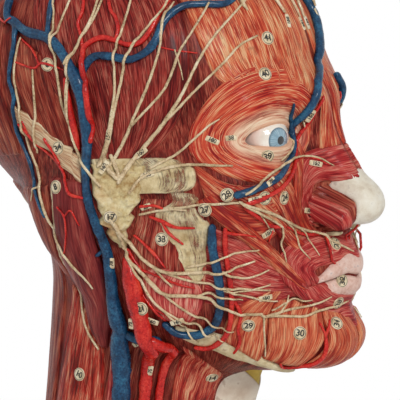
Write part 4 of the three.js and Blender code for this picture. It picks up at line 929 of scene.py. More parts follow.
def build_muscles():
    pieces = []
    stands_for = {"temporalis", "masseter", "sternomastoid", "sternohyoid", "parotid"}
    for title, side in SIDES.items():
        for number, (muscle, shares) in enumerate(MUSCLE_SHARES.items()):
            made, paint = build_sheet(f"{muscle}_sheet_{title}", shares, side, number)
            nodes = [f"{muscle}_{title}"] if muscle in stands_for else []
            slot = "painted_gland" if paint in ("bone", "fascia", "gland") else "painted_muscle"
            finish_piece(made, "head", slot, PAINTS[paint], *nodes)
            pieces.append(made)
    for number, (muscle, shares) in enumerate(MIDDLE_SHARES.items(), 60):
        made, paint = build_sheet(muscle, shares, RIGHT, number)
        finish_piece(made, "head", "painted_cartilage", PAINTS[paint])
        pieces.append(made)
    return pieces


# Rings of fibres round the eyes and the mouth: centre, inner and outer reach as rear, front, up, down

RING_SHARES = {
    "eye_ring": ((23.6, .3705), (10.2, 9.8, .0205, .0155), (28, 15.5, .1, .066)),
    "mouth_ring": ((0, .551), (15.5, 15.5, .013, .016), (28.5, 28.5, .0435, .048)),
}


def ring_spots(centre, reach, angle):
    rear, front, up, down = reach
    across = np.where(np.cos(angle) > 0, rear, front) * np.cos(angle)
    height = -np.where(np.sin(angle) > 0, up, down) * np.sin(angle)
    return centre[0] + across, centre[1] + height


def build_ring(name, ring, side, paint, lift, belly, lid, number):
    centre, inner, outer = RING_SHARES[ring]
    rows, columns = 64 if lid else 34, 240
    angle = np.linspace(0, 2 * np.pi, columns, endpoint=False)[None, :]
    share = np.linspace(0, 1, rows + 1)[:, None]
    near = ring_spots(centre, inner, angle)
    if lid:
        sharpness = np.abs(np.cos(angle)) ** 2
        near = (near[0], centre[1] + (near[1] - centre[1]) * (1 - .25 * sharpness))
    far = ring_spots(centre, outer, angle)
    azimuths = (near[0] + (far[0] - near[0]) * share) * side
    shares = near[1] + (far[1] - near[1]) * share
    points, _ = skin.place(azimuths, shares)
    reach = np.linalg.norm(points[-1] - points[0], axis=-1)[None, :]
    round_length = np.linalg.norm(np.diff(points[rows // 2], axis=0), axis=-1).sum()
    from_outer = (1 - share) * reach
    from_inner = share * reach
    inside = np.sqrt(np.clip(1 - (1 - np.clip(from_outer / EDGE_ROUND, 0, 1)) ** 2, 0, 1))
    height = -RIM_DROP + (lift + RIM_DROP) * inside
    height = height + belly * np.sin(np.pi * np.clip(share, 0, 1)) ** .8
    if lid:
        rim = np.sqrt(np.clip(1 - (1 - np.clip(from_inner / 1.1, 0, 1)) ** 2, 0, 1))
        height = height * rim - 1.5 * (1 - rim)
        crease = np.exp(-((from_inner - 5.5) / 1.1) ** 2) * np.clip(np.sin(angle), 0, 1)
        height = height - .9 * crease
    else:
        rim = np.sqrt(np.clip(1 - (1 - np.clip(from_inner / EDGE_ROUND, 0, 1)) ** 2, 0, 1))
        height = height * rim - RIM_DROP * (1 - rim)
    turn = angle / (2 * np.pi)
    wave = np.minimum(turn, 1 - turn) * round_length
    ridges = value_noise(from_inner / 1.3, wave / 15 + 40, number) + .5 * value_noise(from_inner / .7, wave / 9, number + 1)
    height = height + RIDGE * 1.1 * (ridges - .75) * np.minimum(inside, smooth_step(1, 4, from_inner))
    grid, _ = skin.place(azimuths, shares, height)
    under, _ = skin.place(azimuths, shares, np.full(shares.shape, -2.2))
    points = np.vstack([grid.reshape(-1, 3), under[[0, rows // 2, rows]].reshape(-1, 3)])
    total = (rows + 1) * columns
    bottom = grid_faces(3, columns, wrap=True, start=total)
    last_row = np.arange(columns) + rows * columns
    first_row = np.arange(columns)
    walls = []
    for top_row, low_start in ((first_row, total), (last_row, total + 2 * columns)):
        low = low_start + np.arange(columns)
        walls.append(np.stack([top_row, low, np.roll(low, -1), np.roll(top_row, -1)], -1))
    across = np.broadcast_to(from_inner / 10, (rows + 1, columns))
    along = np.broadcast_to(wave / 10, (rows + 1, columns))
    uv = np.stack([across, along], -1)
    full_uv = np.vstack([uv.reshape(-1, 2), uv[[0, rows // 2, rows]].reshape(-1, 2)])
    made = make_mesh(name, points, [grid_faces(rows + 1, columns, wrap=True), bottom, *walls], full_uv)
    return finish_piece(recalculated(made), "head", "painted_muscle", paint)


def lid_ring_paint():
    """Round the eye: pale lids, then concentric red fibres streaked with orange and cream."""
    paint = Paint("eye_ring_fibres")
    uv = paint.fibres()
    across = paint.add("ShaderNodeSeparateXYZ", None, [uv]).value("X")
    wide = paint.noise(paint.scaled(uv, (2.6, .4, 1)), 1.0, 2)
    streak = paint.noise(paint.scaled(uv, (11, .6, 1), (3, 1, 0)), 1.0, 3, .6)
    thin = paint.noise(paint.scaled(uv, (30, .9, 1), (5, 2, 0)), 1.0, 2, .6)
    tone = streak * .6 + thin * .4 + (wide - .5) * .4
    red = paint.ramp(tone, [(.38, CRIMSON), (.48, (.48, .035, .02)), (.57, (.62, .13, .06)), (.67, CREAM)])
    red = paint.mix(thin.step(.56, .62) * .65, red, CREAM)
    lid = paint.ramp(tone, [(.36, (.50, .17, .11)), (.46, (.70, .42, .28)), (.58, (.80, .62, .44))])
    colour = paint.mix(across.step(.35, 1.15), lid, red)
    colour = paint.mix(1 - across.step(.02, .14), colour, (.70, .40, .26))
    return paint.finish(base_color=colour, roughness=streak * .2 + .28, normal=paint.bump(streak, .0007, .7),
                        specular_IOR_level=.06, coat_weight=.06, coat_roughness=.16)


muscles = build_muscles()
lid_paint = lid_ring_paint()
for title, side in SIDES.items():
    muscles.append(build_ring(f"eye_ring_{title}", "eye_ring", side, lid_paint, .5, .5, True, 91))
muscles.append(build_ring("mouth_ring", "mouth_ring", RIGHT, PAINTS["mouth"], .9, 1.0, False, 95))


# Vessels and nerves, each branch as azimuth, share and girth in shares of its kind's radius

CORD_RADIUS = {"vein": 2.05, "artery": 1.3, "nerve": .62}
CORD_SIDES = {"vein": 18, "artery": 12, "nerve": 9}
CORD_SHARES = {
    "carotid_artery": ("artery", [
        [(80.5, 600, 2), (80, 635, 3.1), (79.5, 670, 3.4), (79, 705, 2.9), (77.5, 740, 2.5), (75.5, 775, 2.4),
         (74, 820, 2.4), (72.5, 880, 2.4), (72, 985, 2.4)],
        [(77.5, 700, 2), (73, 705, 1.9), (69, 730, 1.7), (67.5, 780, 1.6), (67, 840, 1.5)],
    ]),
    "temporal_vein": ("vein", [
        [(118, 150, 1), (116, 178, 1), (112, 184, 1.05), (105, 194, 1.1), (97, 200, 1.15), (92, 212, 1.2),
         (88.5, 230, 1.35), (86, 248, 1.6), (85, 272, 1.6), (86, 300, 1.45), (87, 340, 1.25), (88, 390, 1.1),
         (88.5, 440, 1.05), (88.5, 490, 1.05), (88.5, 540, 1.15), (89, 590, 1.3), (90.5, 640, 1.5), (92, 690, 1.8),
         (91, 730, 2), (88.5, 760, 2.15), (86, 790, 2.2), (84.5, 830, 2.2), (83, 890, 2.2), (82, 985, 2.2)],
        [(86, 250, 1.2), (83.5, 236, .95), (79, 224, .9), (72.5, 227, .9), (66, 234, .9), (60, 230, .9),
         (56, 220, .9), (53, 206, .85), (49, 197, .85), (44, 193, .85), (38, 197, .85), (31, 204, .85),
         (26, 200, .8), (23, 188, .75),
         (22, 150, .75)],
        [(111, 186, .9), (110.5, 205, .6), (112, 225, .55), (114, 242, .55), (113.5, 260, .5), (115, 280, .5),
         (116.5, 300, .5), (115.5, 330, .5), (114, 370, .5), (113, 420, .45), (111, 460, .45), (108.5, 500, .4)],
        [(96.5, 201, .8), (96.5, 185, .65), (96, 145, .6)],
        [(91, 726, 1.2), (85, 722, 1.1), (79.5, 710, 1.05), (76, 704, 1)],
        [(93, 593, .5), (88.5, 578, .6)],
    ]),
    "facial_vein": ("vein", [
        [(48, 500, .95), (48.2, 540, 1), (47.5, 580, 1.05), (47.5, 615, 1.05), (49.5, 642, 1), (54, 658, 1),
         (60, 668, 1), (66, 672, .95), (70, 668, .9)],
    ]),
    "angular_vein": ("vein", [
        [(7, 308, 1), (9.5, 325, .9), (11.5, 345, .85), (13, 365, .8), (15, 385, .8), (18, 405, .8), (22, 420, .8),
         (28, 430, .8), (35, 438, .85), (41, 445, .9)],
        [(16.4, 326, .4), (15.4, 340, .5), (15, 355, .55), (14.3, 370, .55)],
    ]),
    "temporal_artery": ("artery", [
        [(85, 330, .8), (83.6, 300, 1), (82.8, 260, 1.1), (83.2, 219, 1), (80.5, 209, 1), (75.5, 205, 1),
         (71, 210, 1), (66, 218, .95), (61.5, 218, .95), (57.5, 209, .9), (54, 196, .9), (50, 185, .9),
         (46, 175, .85), (41, 150, .8)],
        [(83, 218, .75), (83.5, 200, .7), (84.5, 186, .7), (82.5, 172, .65), (82.5, 140, .6)],
        [(70.5, 211, .8), (69, 199, .7), (69.5, 186, .7), (71.5, 173, .65), (71.5, 140, .6)],
        [(56, 227, .3), (50.5, 236, .32), (43.5, 245, .25)],
    ]),
    "occipital_artery": ("artery", [
        [(112, 290, .35), (110, 315, .4), (104, 350, .5), (99.5, 375, .6), (95.5, 415, .6), (94, 440, .6),
         (90, 450, .5)],
        [(104, 315, .55), (101.5, 345, .55), (98.5, 375, .6)],
        [(99.5, 470, .4), (97.5, 488, .4), (99, 525, .36), (103, 570, .3), (107, 600, .25)],
        [(97.5, 488, .35), (94.5, 475, .35), (93.5, 508, .28)],
    ]),
    "facial_artery": ("artery", [
        [(44.5, 500, .9), (44.6, 540, .95), (44, 580, 1), (43.7, 615, 1), (44.5, 642, 1), (48, 664, 1),
         (53, 681, 1), (58, 689, .9)],
        [(44.5, 505, .7), (40, 503, .4), (36, 507, .3)],
        [(43.8, 600, .6), (40.5, 618, .65), (41, 636, .65), (40, 648, .6), (41.5, 664, .5)],
    ]),
    "angular_artery": ("artery", [
        [(6, 327, .5), (8, 347, .6), (9.5, 367, .65), (11.5, 387, .7), (14.5, 408, .75), (19, 427, .8),
         (26, 441, .85), (33, 451, .9), (39, 460, .85), (35.5, 478, .8), (31.5, 492, .7), (26.5, 498, .5)],
        [(16.5, 418, .5), (12, 411, .45), (8, 413, .4), (5.5, 422, .3)],
        [(25, 500, .5), (18, 515, .6), (12, 517, .6), (6, 510, .5), (1, 507, .4)],
    ]),
    "chin_artery": ("artery", [
        [(10.5, 600, .45), (13, 608, .6), (13.2, 618, .8), (14, 630, .85), (17.5, 643, .85), (22.5, 652, .7),
         (25, 648, .5)],
        [(14.2, 603, .4), (13.4, 610, .5), (13.2, 620, .6)],
    ]),
    "temporal_nerves": ("nerve", [
        [(81.5, 372, 1.6), (80, 400, 2), (76.5, 420, 1.7), (79, 370, 1.5)],
        [(83.5, 390, 1.4), (80.5, 345, 1.4), (77.5, 308, 1.2), (73.5, 268, 1.05), (71.5, 228, 1), (68, 203, .95),
         (62.5, 168, .9), (60, 140, .9)],
        [(83, 388, 1.4), (79.5, 340, 1.4), (76.5, 305, 1.2), (71, 260, 1.1), (67, 230, 1.1), (60, 208, 1),
         (50, 186, .95), (43, 150, .8)],
        [(80, 395, 1.2), (74, 345, 1.4), (70, 313, 1.2), (62, 270, 1.1), (55.5, 230, 1), (52, 200, 1.1),
         (47, 185, .7)],
        [(70, 313, 1.2), (65, 300, 1), (56, 275, 1), (50, 243, 1), (47.5, 233, .95), (41.5, 215, .9),
         (36, 200, .8)],
        [(77, 425, 1.8), (72.5, 395, 1.9), (68, 368, 1.8), (59.5, 323, 1.5), (51.5, 290, 1.2), (44, 255, 1.1),
         (37, 233, 1), (29.5, 218, .9), (22, 205, .7)],
        [(59.5, 320, 1.2), (53, 303, 1.1), (46, 285, 1), (36, 263, .95), (30, 250, .9), (23.5, 245, .8)],
        [(65, 403, 1), (56, 380, 1), (48, 352, .9), (43.5, 335, .8), (40.5, 328, .5)],
        [(73.5, 445, 1.3), (68, 418, 1.2), (58, 403, 1.2), (50, 400, 1.1), (45.5, 403, 1), (40.5, 405, .7)],
        [(50.5, 236, .6), (49.8, 255, .55), (49.6, 270, .4)],
    ]),
    "facial_nerves": ("nerve", [
        [(83, 500, 1.4), (80.5, 545, 1.4), (78, 570, 1.4), (73.5, 590, 1.3), (65.5, 595, 1.4), (54.5, 580, 1.2),
         (46, 568, 1), (41, 555, .9), (36, 545, .7)],
        [(82, 530, 1.3), (80.5, 585, 1.4), (74.5, 613, 1.4), (67.5, 625, 1.4), (55.5, 613, 1.4), (48, 615, 1.2),
         (41.5, 618, 1.1), (33.5, 611, 1)],
        [(57.5, 577, .9), (51, 563, .9), (43, 540, .8), (35, 528, .6)],
        [(46, 568, .9), (42, 570, .9), (38.5, 568, .85), (31.5, 555, .6)],
        [(65.5, 596, .9), (58, 595, .9), (54.5, 593, .9), (46, 588, .9), (38.5, 583, .8), (31, 580, .6)],
        [(55.5, 613, .9), (51.5, 605, .9), (44, 600, .7), (40, 600, .5)],
        [(46, 588, .8), (42, 593, .8), (36.5, 593, .8), (28, 593, .6)],
        [(46, 592, .7), (40.5, 588, .7), (35.5, 580, .7), (31, 573, .5)],
        [(73, 615, .9), (68, 625, .9), (63, 632, .9), (56, 640, .9), (50, 643, .8), (42.5, 640, .5)],
        [(80, 590, 1), (75, 630, 1.1), (69.5, 645, 1), (60, 650, .9), (56, 653, .9), (52.5, 658, .8),
         (46, 655, .6)],
        [(69, 646, .8), (64, 655, .8), (59, 668, .7), (57, 678, .5)],
        [(72, 592, .8), (66, 605, .8), (64, 612, .5)],
    ]),
    "infraorbital_nerves": ("nerve", [
        [(40.5, 455, 1), (37, 463, 1.1), (31, 475, 1.2), (24.5, 493, 1.2), (18, 508, 1.1), (10.5, 518, 1),
         (3.5, 528, .8), (1.5, 530, .5)],
        [(40.5, 455, 1), (37, 467, 1), (28, 495, .9), (26, 520, .8), (25.5, 545, .5)],
        [(39, 444, .9), (30.5, 424, 1), (24, 419, 1), (18.5, 415, .9), (10.5, 410, .8), (7, 413, .7), (5, 423, .5)],
        [(24.5, 493, .8), (20.5, 515, .7), (19.5, 530, .7), (17, 540, .4)],
        [(21, 503, .7), (17.5, 510, .7), (15.5, 523, .6), (14, 535, .4)],
        [(10.5, 518, .6), (10, 525, .5), (9.5, 532, .3)],
        [(62, 478, .9), (56, 472, 1), (50, 462, .9), (44, 458, 1), (40, 456, 1)],
        [(36, 466, .7), (34, 480, .6), (32, 495, .4)],
        [(15.5, 365, .8), (16.5, 383, .9), (19.5, 393, .9), (23, 405, .7)],
        [(72, 497, 1), (66, 487, 1), (60, 478, 1), (55, 476, .9)],
    ]),
    "mental_nerves": ("nerve", [
        [(33.5, 611, 1.1), (32, 613, 1.1), (24.5, 602, 1), (19, 593, .9), (14, 581, .8), (10.5, 574, .5)],
        [(32, 613, 1), (20, 604, 1), (14.5, 594, 1), (7, 588, .9), (1.5, 580, .6)],
        [(32, 613, .8), (27.5, 608, .8), (24.5, 595, .7), (23.5, 585, .5)],
        [(32.5, 613, .9), (32, 630, .7), (31, 648, .5)],
        [(29.5, 605, .7), (22.5, 589, .7), (17, 580, .5)],
    ]),
    "occipital_nerves": ("nerve", [
        [(95.5, 145, .8), (94.5, 201, 1), (94, 228, 1.1), (94.2, 268, 1.1), (92.7, 303, 1), (90.5, 360, 1),
         (87, 400, 1.1), (83.5, 430, 1.2)],
        [(74, 142, .9), (78, 176, 1), (83.5, 203, 1.1), (88.5, 228, 1.1), (91, 268, 1), (92.7, 303, 1)],
        [(86, 142, .9), (93, 194, .9), (94.5, 210, .8)],
        [(89.5, 235, .9), (91.5, 268, .8), (92.4, 297, .8), (91, 360, .6)],
    ]),
    "nape_nerve": ("nerve", [
        [(108.5, 200, .8), (110, 220, .9), (112, 250, .9), (112.5, 290, 1), (113, 330, 1), (110.5, 390, 1.1),
         (109, 445, 1.1), (107.5, 500, 1.1), (106, 550, 1), (104, 620, 1), (100.5, 675, .7)],
        [(103.5, 233, .8), (104.5, 258, .9), (106, 285, 1), (108.5, 310, 1), (109.5, 343, .8)],
        [(109.5, 430, .7), (113, 440, .7), (116, 470, .5)],
    ]),
    "scalp_arteries": ("artery", [
        [(121, 180, .35), (115.5, 186, .4), (112.5, 182, .3)],
        [(108, 201, .4), (103, 213, .45), (101, 226, .4)],
        [(110, 225, .35), (103, 231, .45), (100, 226, .5), (95.5, 229, .4), (91.5, 234, .3)],
        [(114, 293, .4), (111.5, 305, .5), (109.5, 320, .5), (110.5, 335, .4)],
        [(91, 245, 1), (91.2, 272, 1.5), (91, 300, 1.4), (91.2, 345, 1)],
    ]),
    "cheek_arteries": ("artery", [
        [(71, 478, .6), (66.5, 475, .6), (62.5, 480, .4)],
        [(68, 500, .5), (64, 505, .7), (59, 513, .7), (53, 506, .4)],
        [(63.5, 512, .6), (61.5, 530, .6), (57.5, 543, .4)],
        [(76, 548, .5), (71.5, 565, .6), (68.5, 575, .6), (65.5, 588, .4)],
        [(80, 580, .5), (77.5, 598, .6), (74.5, 610, .4)],
        [(79.5, 625, .5), (76, 643, .5), (72.5, 653, .5), (69.5, 660, .35)],
        [(76.5, 608, .5), (69.5, 605, .5), (62, 605, .5), (56, 603, .3)],
        [(72.5, 650, .4), (65.5, 650, .45), (61, 650, .3)],
        [(30, 503, .6), (31, 518, .3)],
    ]),
    "scalp_nerves": ("nerve", [
        [(89.5, 228, 1.1), (84, 205, 1), (80, 190, 1), (76.5, 175, .9), (71, 142, .8)],
        [(102, 430, .8), (104, 490, 1), (108, 560, 1.1), (113, 640, 1.1), (116.5, 700, 1), (111, 742, 1),
         (101, 759, .9)],
        [(24, 150, 1.6), (24.2, 190, 1.7), (24.5, 205, 1.9), (23.5, 216, .9)],
        [(12, 150, 1.4), (12, 200, 1.5), (10.5, 215, 1.4), (9.5, 228, 1)],
        [(-5, 150, 1.4), (-3, 200, 1.4), (-2, 220, 1.3), (-1.5, 236, .9)],
    ]),
}
# The one vein of the forehead crosses the middle and joins the right angular vein
FOREHEAD_SHARES = [
    [(7, 308, 1), (2, 292, 1.05), (-3, 272, 1.1), (-7, 252, 1.15), (-10, 232, 1.2), (-9, 205, 1.15),
     (-7.5, 178, 1.1), (-7, 150, 1.1)],
    [(-10, 228, .9), (-15, 216, .75), (-17, 206, .9)],
]
CAP_SHARES = {
    "cap_veins": ("vein", [
        [(116, 190, 1), (118, 140, 1), (113, 110, .9), (110, 75, .7)],
        [(22, 190, .75), (19, 130, .7), (14, 100, .6)],
        [(96, 175, .6), (95, 130, .55), (91, 105, .4)],
    ]),
    "cap_arteries": ("artery", [
        [(82.5, 175, .6), (84, 118, .6), (86, 90, .5), (92, 62, .4)],
        [(43, 185, .8), (42, 140, .75), (50, 112, .6), (60, 90, .45)],
        [(71.5, 175, .6), (72, 130, .5), (76, 104, .4)],
        [(131, 190, .6), (137, 128, .55), (135, 90, .4)],
    ]),
    "cap_nerves": ("nerve", [
        [(72, 170, .8), (69, 118, .8), (66, 92, .6)],
        [(60.5, 175, .9), (57, 125, .8), (58, 102, .6)],
        [(24, 185, 1.6), (25, 135, 1.2), (28, 100, .9), (29, 75, .6)],
        [(12, 185, 1.4), (12, 130, 1.1), (9, 95, .8)],
        [(-5, 185, 1.4), (-4, 135, 1.1), (-5, 108, .8)],
        [(95.5, 175, .8), (104, 125, .8), (103, 90, .6)],
        [(146, 195, 1.1), (150, 130, .9), (147, 90, .6)],
    ]),
}
CAP_VEIN_SHARES = [
    [(-7, 190, 1.1), (-6, 140, 1), (-9, 110, .9), (-8, 80, .75), (-14, 50, .6)],
]
GROUND_REACH = 15.0
CORD_STEP = 1.1
# Millimetres over the skin for each unit of share, near the seam
SEAM_SLOPE = 560.0


class Ground:
    """All that is laid so far, for the next pieces to lie on."""

    def __init__(self):
        self.mesh = bmesh.new()
        self.tree = None

    def add(self, pieces):
        for piece in pieces:
            self.mesh.from_mesh(piece.data)
        self.tree = BVHTree.FromBMesh(self.mesh)

    def height(self, azimuths, shares, atlas):
        points, out = atlas.place(azimuths, shares)
        starts = (points + GROUND_REACH * out) * MM
        heights = np.zeros(len(starts))
        for k, (start, way) in enumerate(zip(starts, out)):
            hit = self.tree.ray_cast(Vector(start), Vector(-way), 1.6 * GROUND_REACH * MM)
            if hit[0] is not None:
                heights[k] = GROUND_REACH - hit[3] / MM
        return heights


def widest(values, reach):
    """The greatest of each value's neighbours, made smooth."""
    padded = np.pad(values, reach, mode="edge")
    high = np.max([padded[k:k + len(values)] for k in range(2 * reach + 1)], axis=0)
    bell = np.hanning(2 * reach + 3)[1:-1]
    return np.convolve(np.pad(high, reach, mode="edge"), bell / bell.sum(), mode="valid")


def cord_rings(way, side, kind, seed, ground, body):
    """Points and faces of one lumpy cord with round ends, that stops short of the cap's seam."""
    way = np.array(way, float)
    way[:, 0] *= side
    _, length = resampled(way, 30)
    line, _ = resampled(way, max(6, math.ceil(length / CORD_STEP)) + 1)
    past_seam = (line[:, 1] - seam_shares(skin, line[:, 0], SEAM)) * (-1 if body == "skull_cap" else 1)
    line = line[past_seam > (line[:, 2] * CORD_RADIUS[kind] + .3) / SEAM_SLOPE]
    girth = line[:, 2] * CORD_RADIUS[kind]
    reach = max(1, math.ceil(girth.max() / CORD_STEP))
    height = widest(ground.height(line[:, 0], line[:, 1], skin), reach)
    wave = np.arange(len(line)) * CORD_STEP
    middle, out = skin.place(line[:, 0], line[:, 1], height + .72 * girth)
    along = np.gradient(middle, axis=0)
    along /= np.linalg.norm(along, axis=1, keepdims=True)
    out = out - (out * along).sum(1, keepdims=True) * along
    out /= np.linalg.norm(out, axis=1, keepdims=True)
    across = np.cross(along, out)
    tips = np.radians([80, 60, 35])
    middle = np.vstack([middle[0] - along[0] * (girth[0] * np.sin(tips))[:, None], middle,
                        middle[-1] + along[-1] * (girth[-1] * np.sin(tips[::-1]))[:, None]])
    grown = lambda values: np.concatenate([np.repeat(values[:1], 3, 0), values, np.repeat(values[-1:], 3, 0)])
    radius = np.concatenate([girth[0] * np.cos(tips), girth, girth[-1] * np.cos(tips[::-1])])[:, None]
    wave = grown(wave)[:, None]
    sides = CORD_SIDES[kind]
    angle = np.linspace(0, 2 * np.pi, sides, endpoint=False)[None, :]
    round_about = 3 * np.cos(angle) + 0 * wave
    if kind == "nerve":
        lumps = .16 * (value_noise(wave / 6 + 0 * angle, wave / 50 + 0 * angle, seed) - .5)
        lumps = lumps + .14 * np.cos(3 * angle + wave * 1.1)
    else:
        lumps = .26 * (value_noise(wave / 7 + 0 * angle, seed + 0 * wave + 0 * angle, seed) - .5)
        lumps = lumps + .16 * (value_noise(round_about, wave / 2.4 + 0 * angle, seed + 1) - .5)
    ring = radius * (1 + lumps)
    points = (middle[:, None] + (ring * np.cos(angle))[..., None] * grown(out)[:, None] * .94
              + (ring * np.sin(angle))[..., None] * grown(across)[:, None])
    rows = len(middle)
    total = rows * sides
    poles = [middle[0] - along[0] * .18 * girth[0], middle[-1] + along[-1] * .18 * girth[-1]]
    faces = grid_faces(rows, sides, wrap=True)
    caps = np.vstack([fan_faces(total, np.arange(sides), flip=False),
                      fan_faces(total + 1, np.arange(sides) + total - sides, flip=True)])
    return np.vstack([points.reshape(-1, 3), poles]), faces, caps


def build_cord_tree(name, kind, branches, side, ground, body, nodes, seed):
    all_points, quads, caps, start = [], [], [], 0
    for number, way in enumerate(branches):
        points, faces, ends = cord_rings(way, side, kind, seed + number * 3, ground, body)
        all_points.append(points)
        quads.append(faces + start)
        caps.append(ends + start)
        start += len(points)
    made = make_mesh(name, np.vstack(all_points), [np.vstack(quads), np.vstack(caps)])
    return finish_piece(recalculated(made), body, SLOTS[kind], PAINTS[kind], *nodes)


def build_cords(ground, body, trees, added, own_nodes):
    """Veins lie lowest, then arteries, and nerves cross over both."""
    for kind in ("vein", "artery", "nerve"):
        laid = []
        for title, side in SIDES.items():
            for number, (tree, (own, branches)) in enumerate(trees.items()):
                if own != kind:
                    continue
                if side == RIGHT:
                    branches = branches + added.get(tree, [])
                nodes = [f"{tree}_{title}"] if own_nodes and tree not in NODELESS else []
                laid.append(build_cord_tree(f"{tree}_laid_{title}", kind, branches, side, ground, body, nodes,
                                            number * 17))
        ground.add(laid)


NODELESS = ("scalp_arteries", "cheek_arteries", "scalp_nerves")
ground = Ground()
ground.add([head, *muscles])
build_cords(ground, "head", CORD_SHARES, {"angular_vein": FOREHEAD_SHARES}, True)


# Paper discs and strips with printed numbers: number, azimuth, share and turn in degrees

DISC_SHARES = [
    ("40", 24.5, 287.5, 20), ("28", 43.5, 445, 35), ("27", 49.5, 470, 10), ("26", 33.5, 452, 20),
    ("24", 26, 457.5, 5), ("22", 7, 524, 80), ("23", 6, 582.5, 70), ("29", 37.5, 628, 0), ("30", 21, 616.5, -10),
    ("31", 8.5, 600, 65), ("10", 108.5, 780, -20), ("14", 37.5, 762.5, 0), ("33", 65, 545, 0),
    ("34", 99, 337.5, 30), ("8", 99.5, 427.5, 30), ("6", 97.5, 227.5, 20), ("17", 82.5, 492.5, 0),
    ("21", 76.5, 652.5, 15), ("32", 6.5, 558.5, 80), ("39", 28, 397, 10), ("5", 140, 270, 0), ("9", 150, 520, 0),
    ("11", 158, 800, 0), ("12", 112, 900, 0), ("41", 20, 250, 0),
]
STRIP_SHARES = [
    ("156", 78.6, 322.5, 80), ("157", 67.5, 370, 38), ("180", 43.5, 362.5, -22), ("38", 38.2, 362, 5),
    ("37", 14.6, 360, 20), ("153", 9.5, 345, 65), ("152", 8.5, 420, -12), ("70", 31, 432, 30),
    ("171", 36.5, 452, 10), ("155", 31.5, 505, 30), ("10", 12.5, 488, -10), ("158", 9.3, 237.5, 80),
    ("159", -2, 243, 85), ("72", 83, 685, 85), ("74", 84, 730, 30), ("160", 75, 668, -20),
    ("161", 64.5, 652.5, 20), ("75", 75, 760, 80), ("150", 32.5, 590, 10), ("25", 69, 478, 20),
    ("162", 81.5, 395, 60), ("78", 87.5, 610, 85), ("163", 66.5, 415, 15),
]
DISC_RADIUS, STRIP_HEIGHT, PAPER_THICKNESS = 3.2, 2.5, .3
FIGURE_HEIGHT = 3.1


def paper_paint():
    """Yellowed paper, with a printed ring near a disc's edge."""
    paint = Paint("label_paper")
    uv = paint.fibres()
    reach = paint.add("ShaderNodeVectorMath", {"operation": "LENGTH"}, [uv]).value("Value")
    cloud = paint.noise(paint.place(), 300, 4, .6)
    paper = paint.ramp(cloud, [(.32, (.44, .32, .17)), (.5, (.66, .54, .34)), (.68, (.78, .69, .50))])
    ring = reach.step(.80, .84) * (1 - reach.step(.90, .94))
    colour = paint.mix(ring * .85, paper, (.03, .02, .015))
    return paint.finish(base_color=colour, roughness=cloud * .2 + .35, coat_weight=.15, coat_roughness=.2)


def ink_paint():
    paint = Paint("label_ink")
    worn = paint.noise(paint.place(), 900, 3)
    colour = paint.ramp(worn, [(.5, (.012, .009, .008)), (.75, (.10, .07, .045))])
    return paint.finish(base_color=colour, roughness=worn * .2 + .4)


def figures_mesh(text, height):
    """The points and faces of a printed number, about its middle, in millimetres."""
    line = bpy.data.curves.new("figures", "FONT")
    line.body = text
    line.size = height * MM * 1.4
    line.offset = .03 * height * MM
    line.extrude = .05 * MM
    line.align_x, line.align_y = "CENTER", "CENTER"
    drawn = bpy.data.objects.new("figures", line)
    mesh = bpy.data.meshes.new_from_object(drawn)
    points = np.array([vertex.co for vertex in mesh.vertices]) / MM
    faces = [np.array([polygon.vertices]) for polygon in mesh.polygons]
    bpy.data.objects.remove(drawn)
    return points, faces


def paper_shape(width):
    """A disc, or a strip where a width is given: its points, its faces and its printed places."""
    sectors = 40
    if width:
        outline = rounded_outline(width, STRIP_HEIGHT, .3, sectors)
        printed = outline * .1
    else:
        angle = np.linspace(0, 2 * np.pi, sectors, endpoint=False)
        outline = DISC_RADIUS * np.stack([np.cos(angle), np.sin(angle)], -1)
        printed = outline / DISC_RADIUS
    rings = [(1, -2 * PAPER_THICKNESS), (1, -.05), (.98, 0), (.6, .03), (.25, .04)]
    points = np.vstack([np.column_stack([outline * share, np.full(sectors, height)]) for share, height in rings])
    uv = np.vstack([printed * share for share, _ in rings])
    total = len(points)
    points = np.vstack([points, [[0, 0, .04], [0, 0, -2 * PAPER_THICKNESS]]])
    faces = [grid_faces(len(rings), sectors, wrap=True), fan_faces(total, np.arange(sectors) + total - sectors),
             fan_faces(total + 1, np.arange(sectors), flip=True)]
    return points, faces, np.vstack([uv, [[0, 0], [0, 0]]])


def label_frame(azimuth, share, turn, reach):
    """Where a label lies: its middle, and its ways right, up and out."""
    point, out = skin.place(azimuth, share)
    angles = np.linspace(0, 2 * np.pi, 8, endpoint=False)
    spread = reach / 1.5
    around = ground.height(azimuth + spread * np.cos(angles), share + spread * .004 * np.sin(angles), skin)
    height = .5 * (np.max(around) + np.median(around)) + PAPER_THICKNESS
    up = np.array([0, 0, 1.0]) - out[2] * out
    up /= np.linalg.norm(up)
    right = np.cross(up, out)
    angle = math.radians(turn)
    across = math.cos(angle) * right + math.sin(angle) * up
    return point + height * out, np.stack([across, np.cross(out, across), out])


def joined_piece(name, parts):
    """One mesh from several sets of points, faces and printed places."""
    points, faces, uv, start = [], [], [], 0
    for own_points, own_faces, own_uv in parts:
        points.append(own_points)
        faces.extend(np.asarray(face) + start for face in own_faces)
        uv.append(own_uv)
        start += len(own_points)
    return make_mesh(name, np.vstack(points), faces, np.vstack(uv))


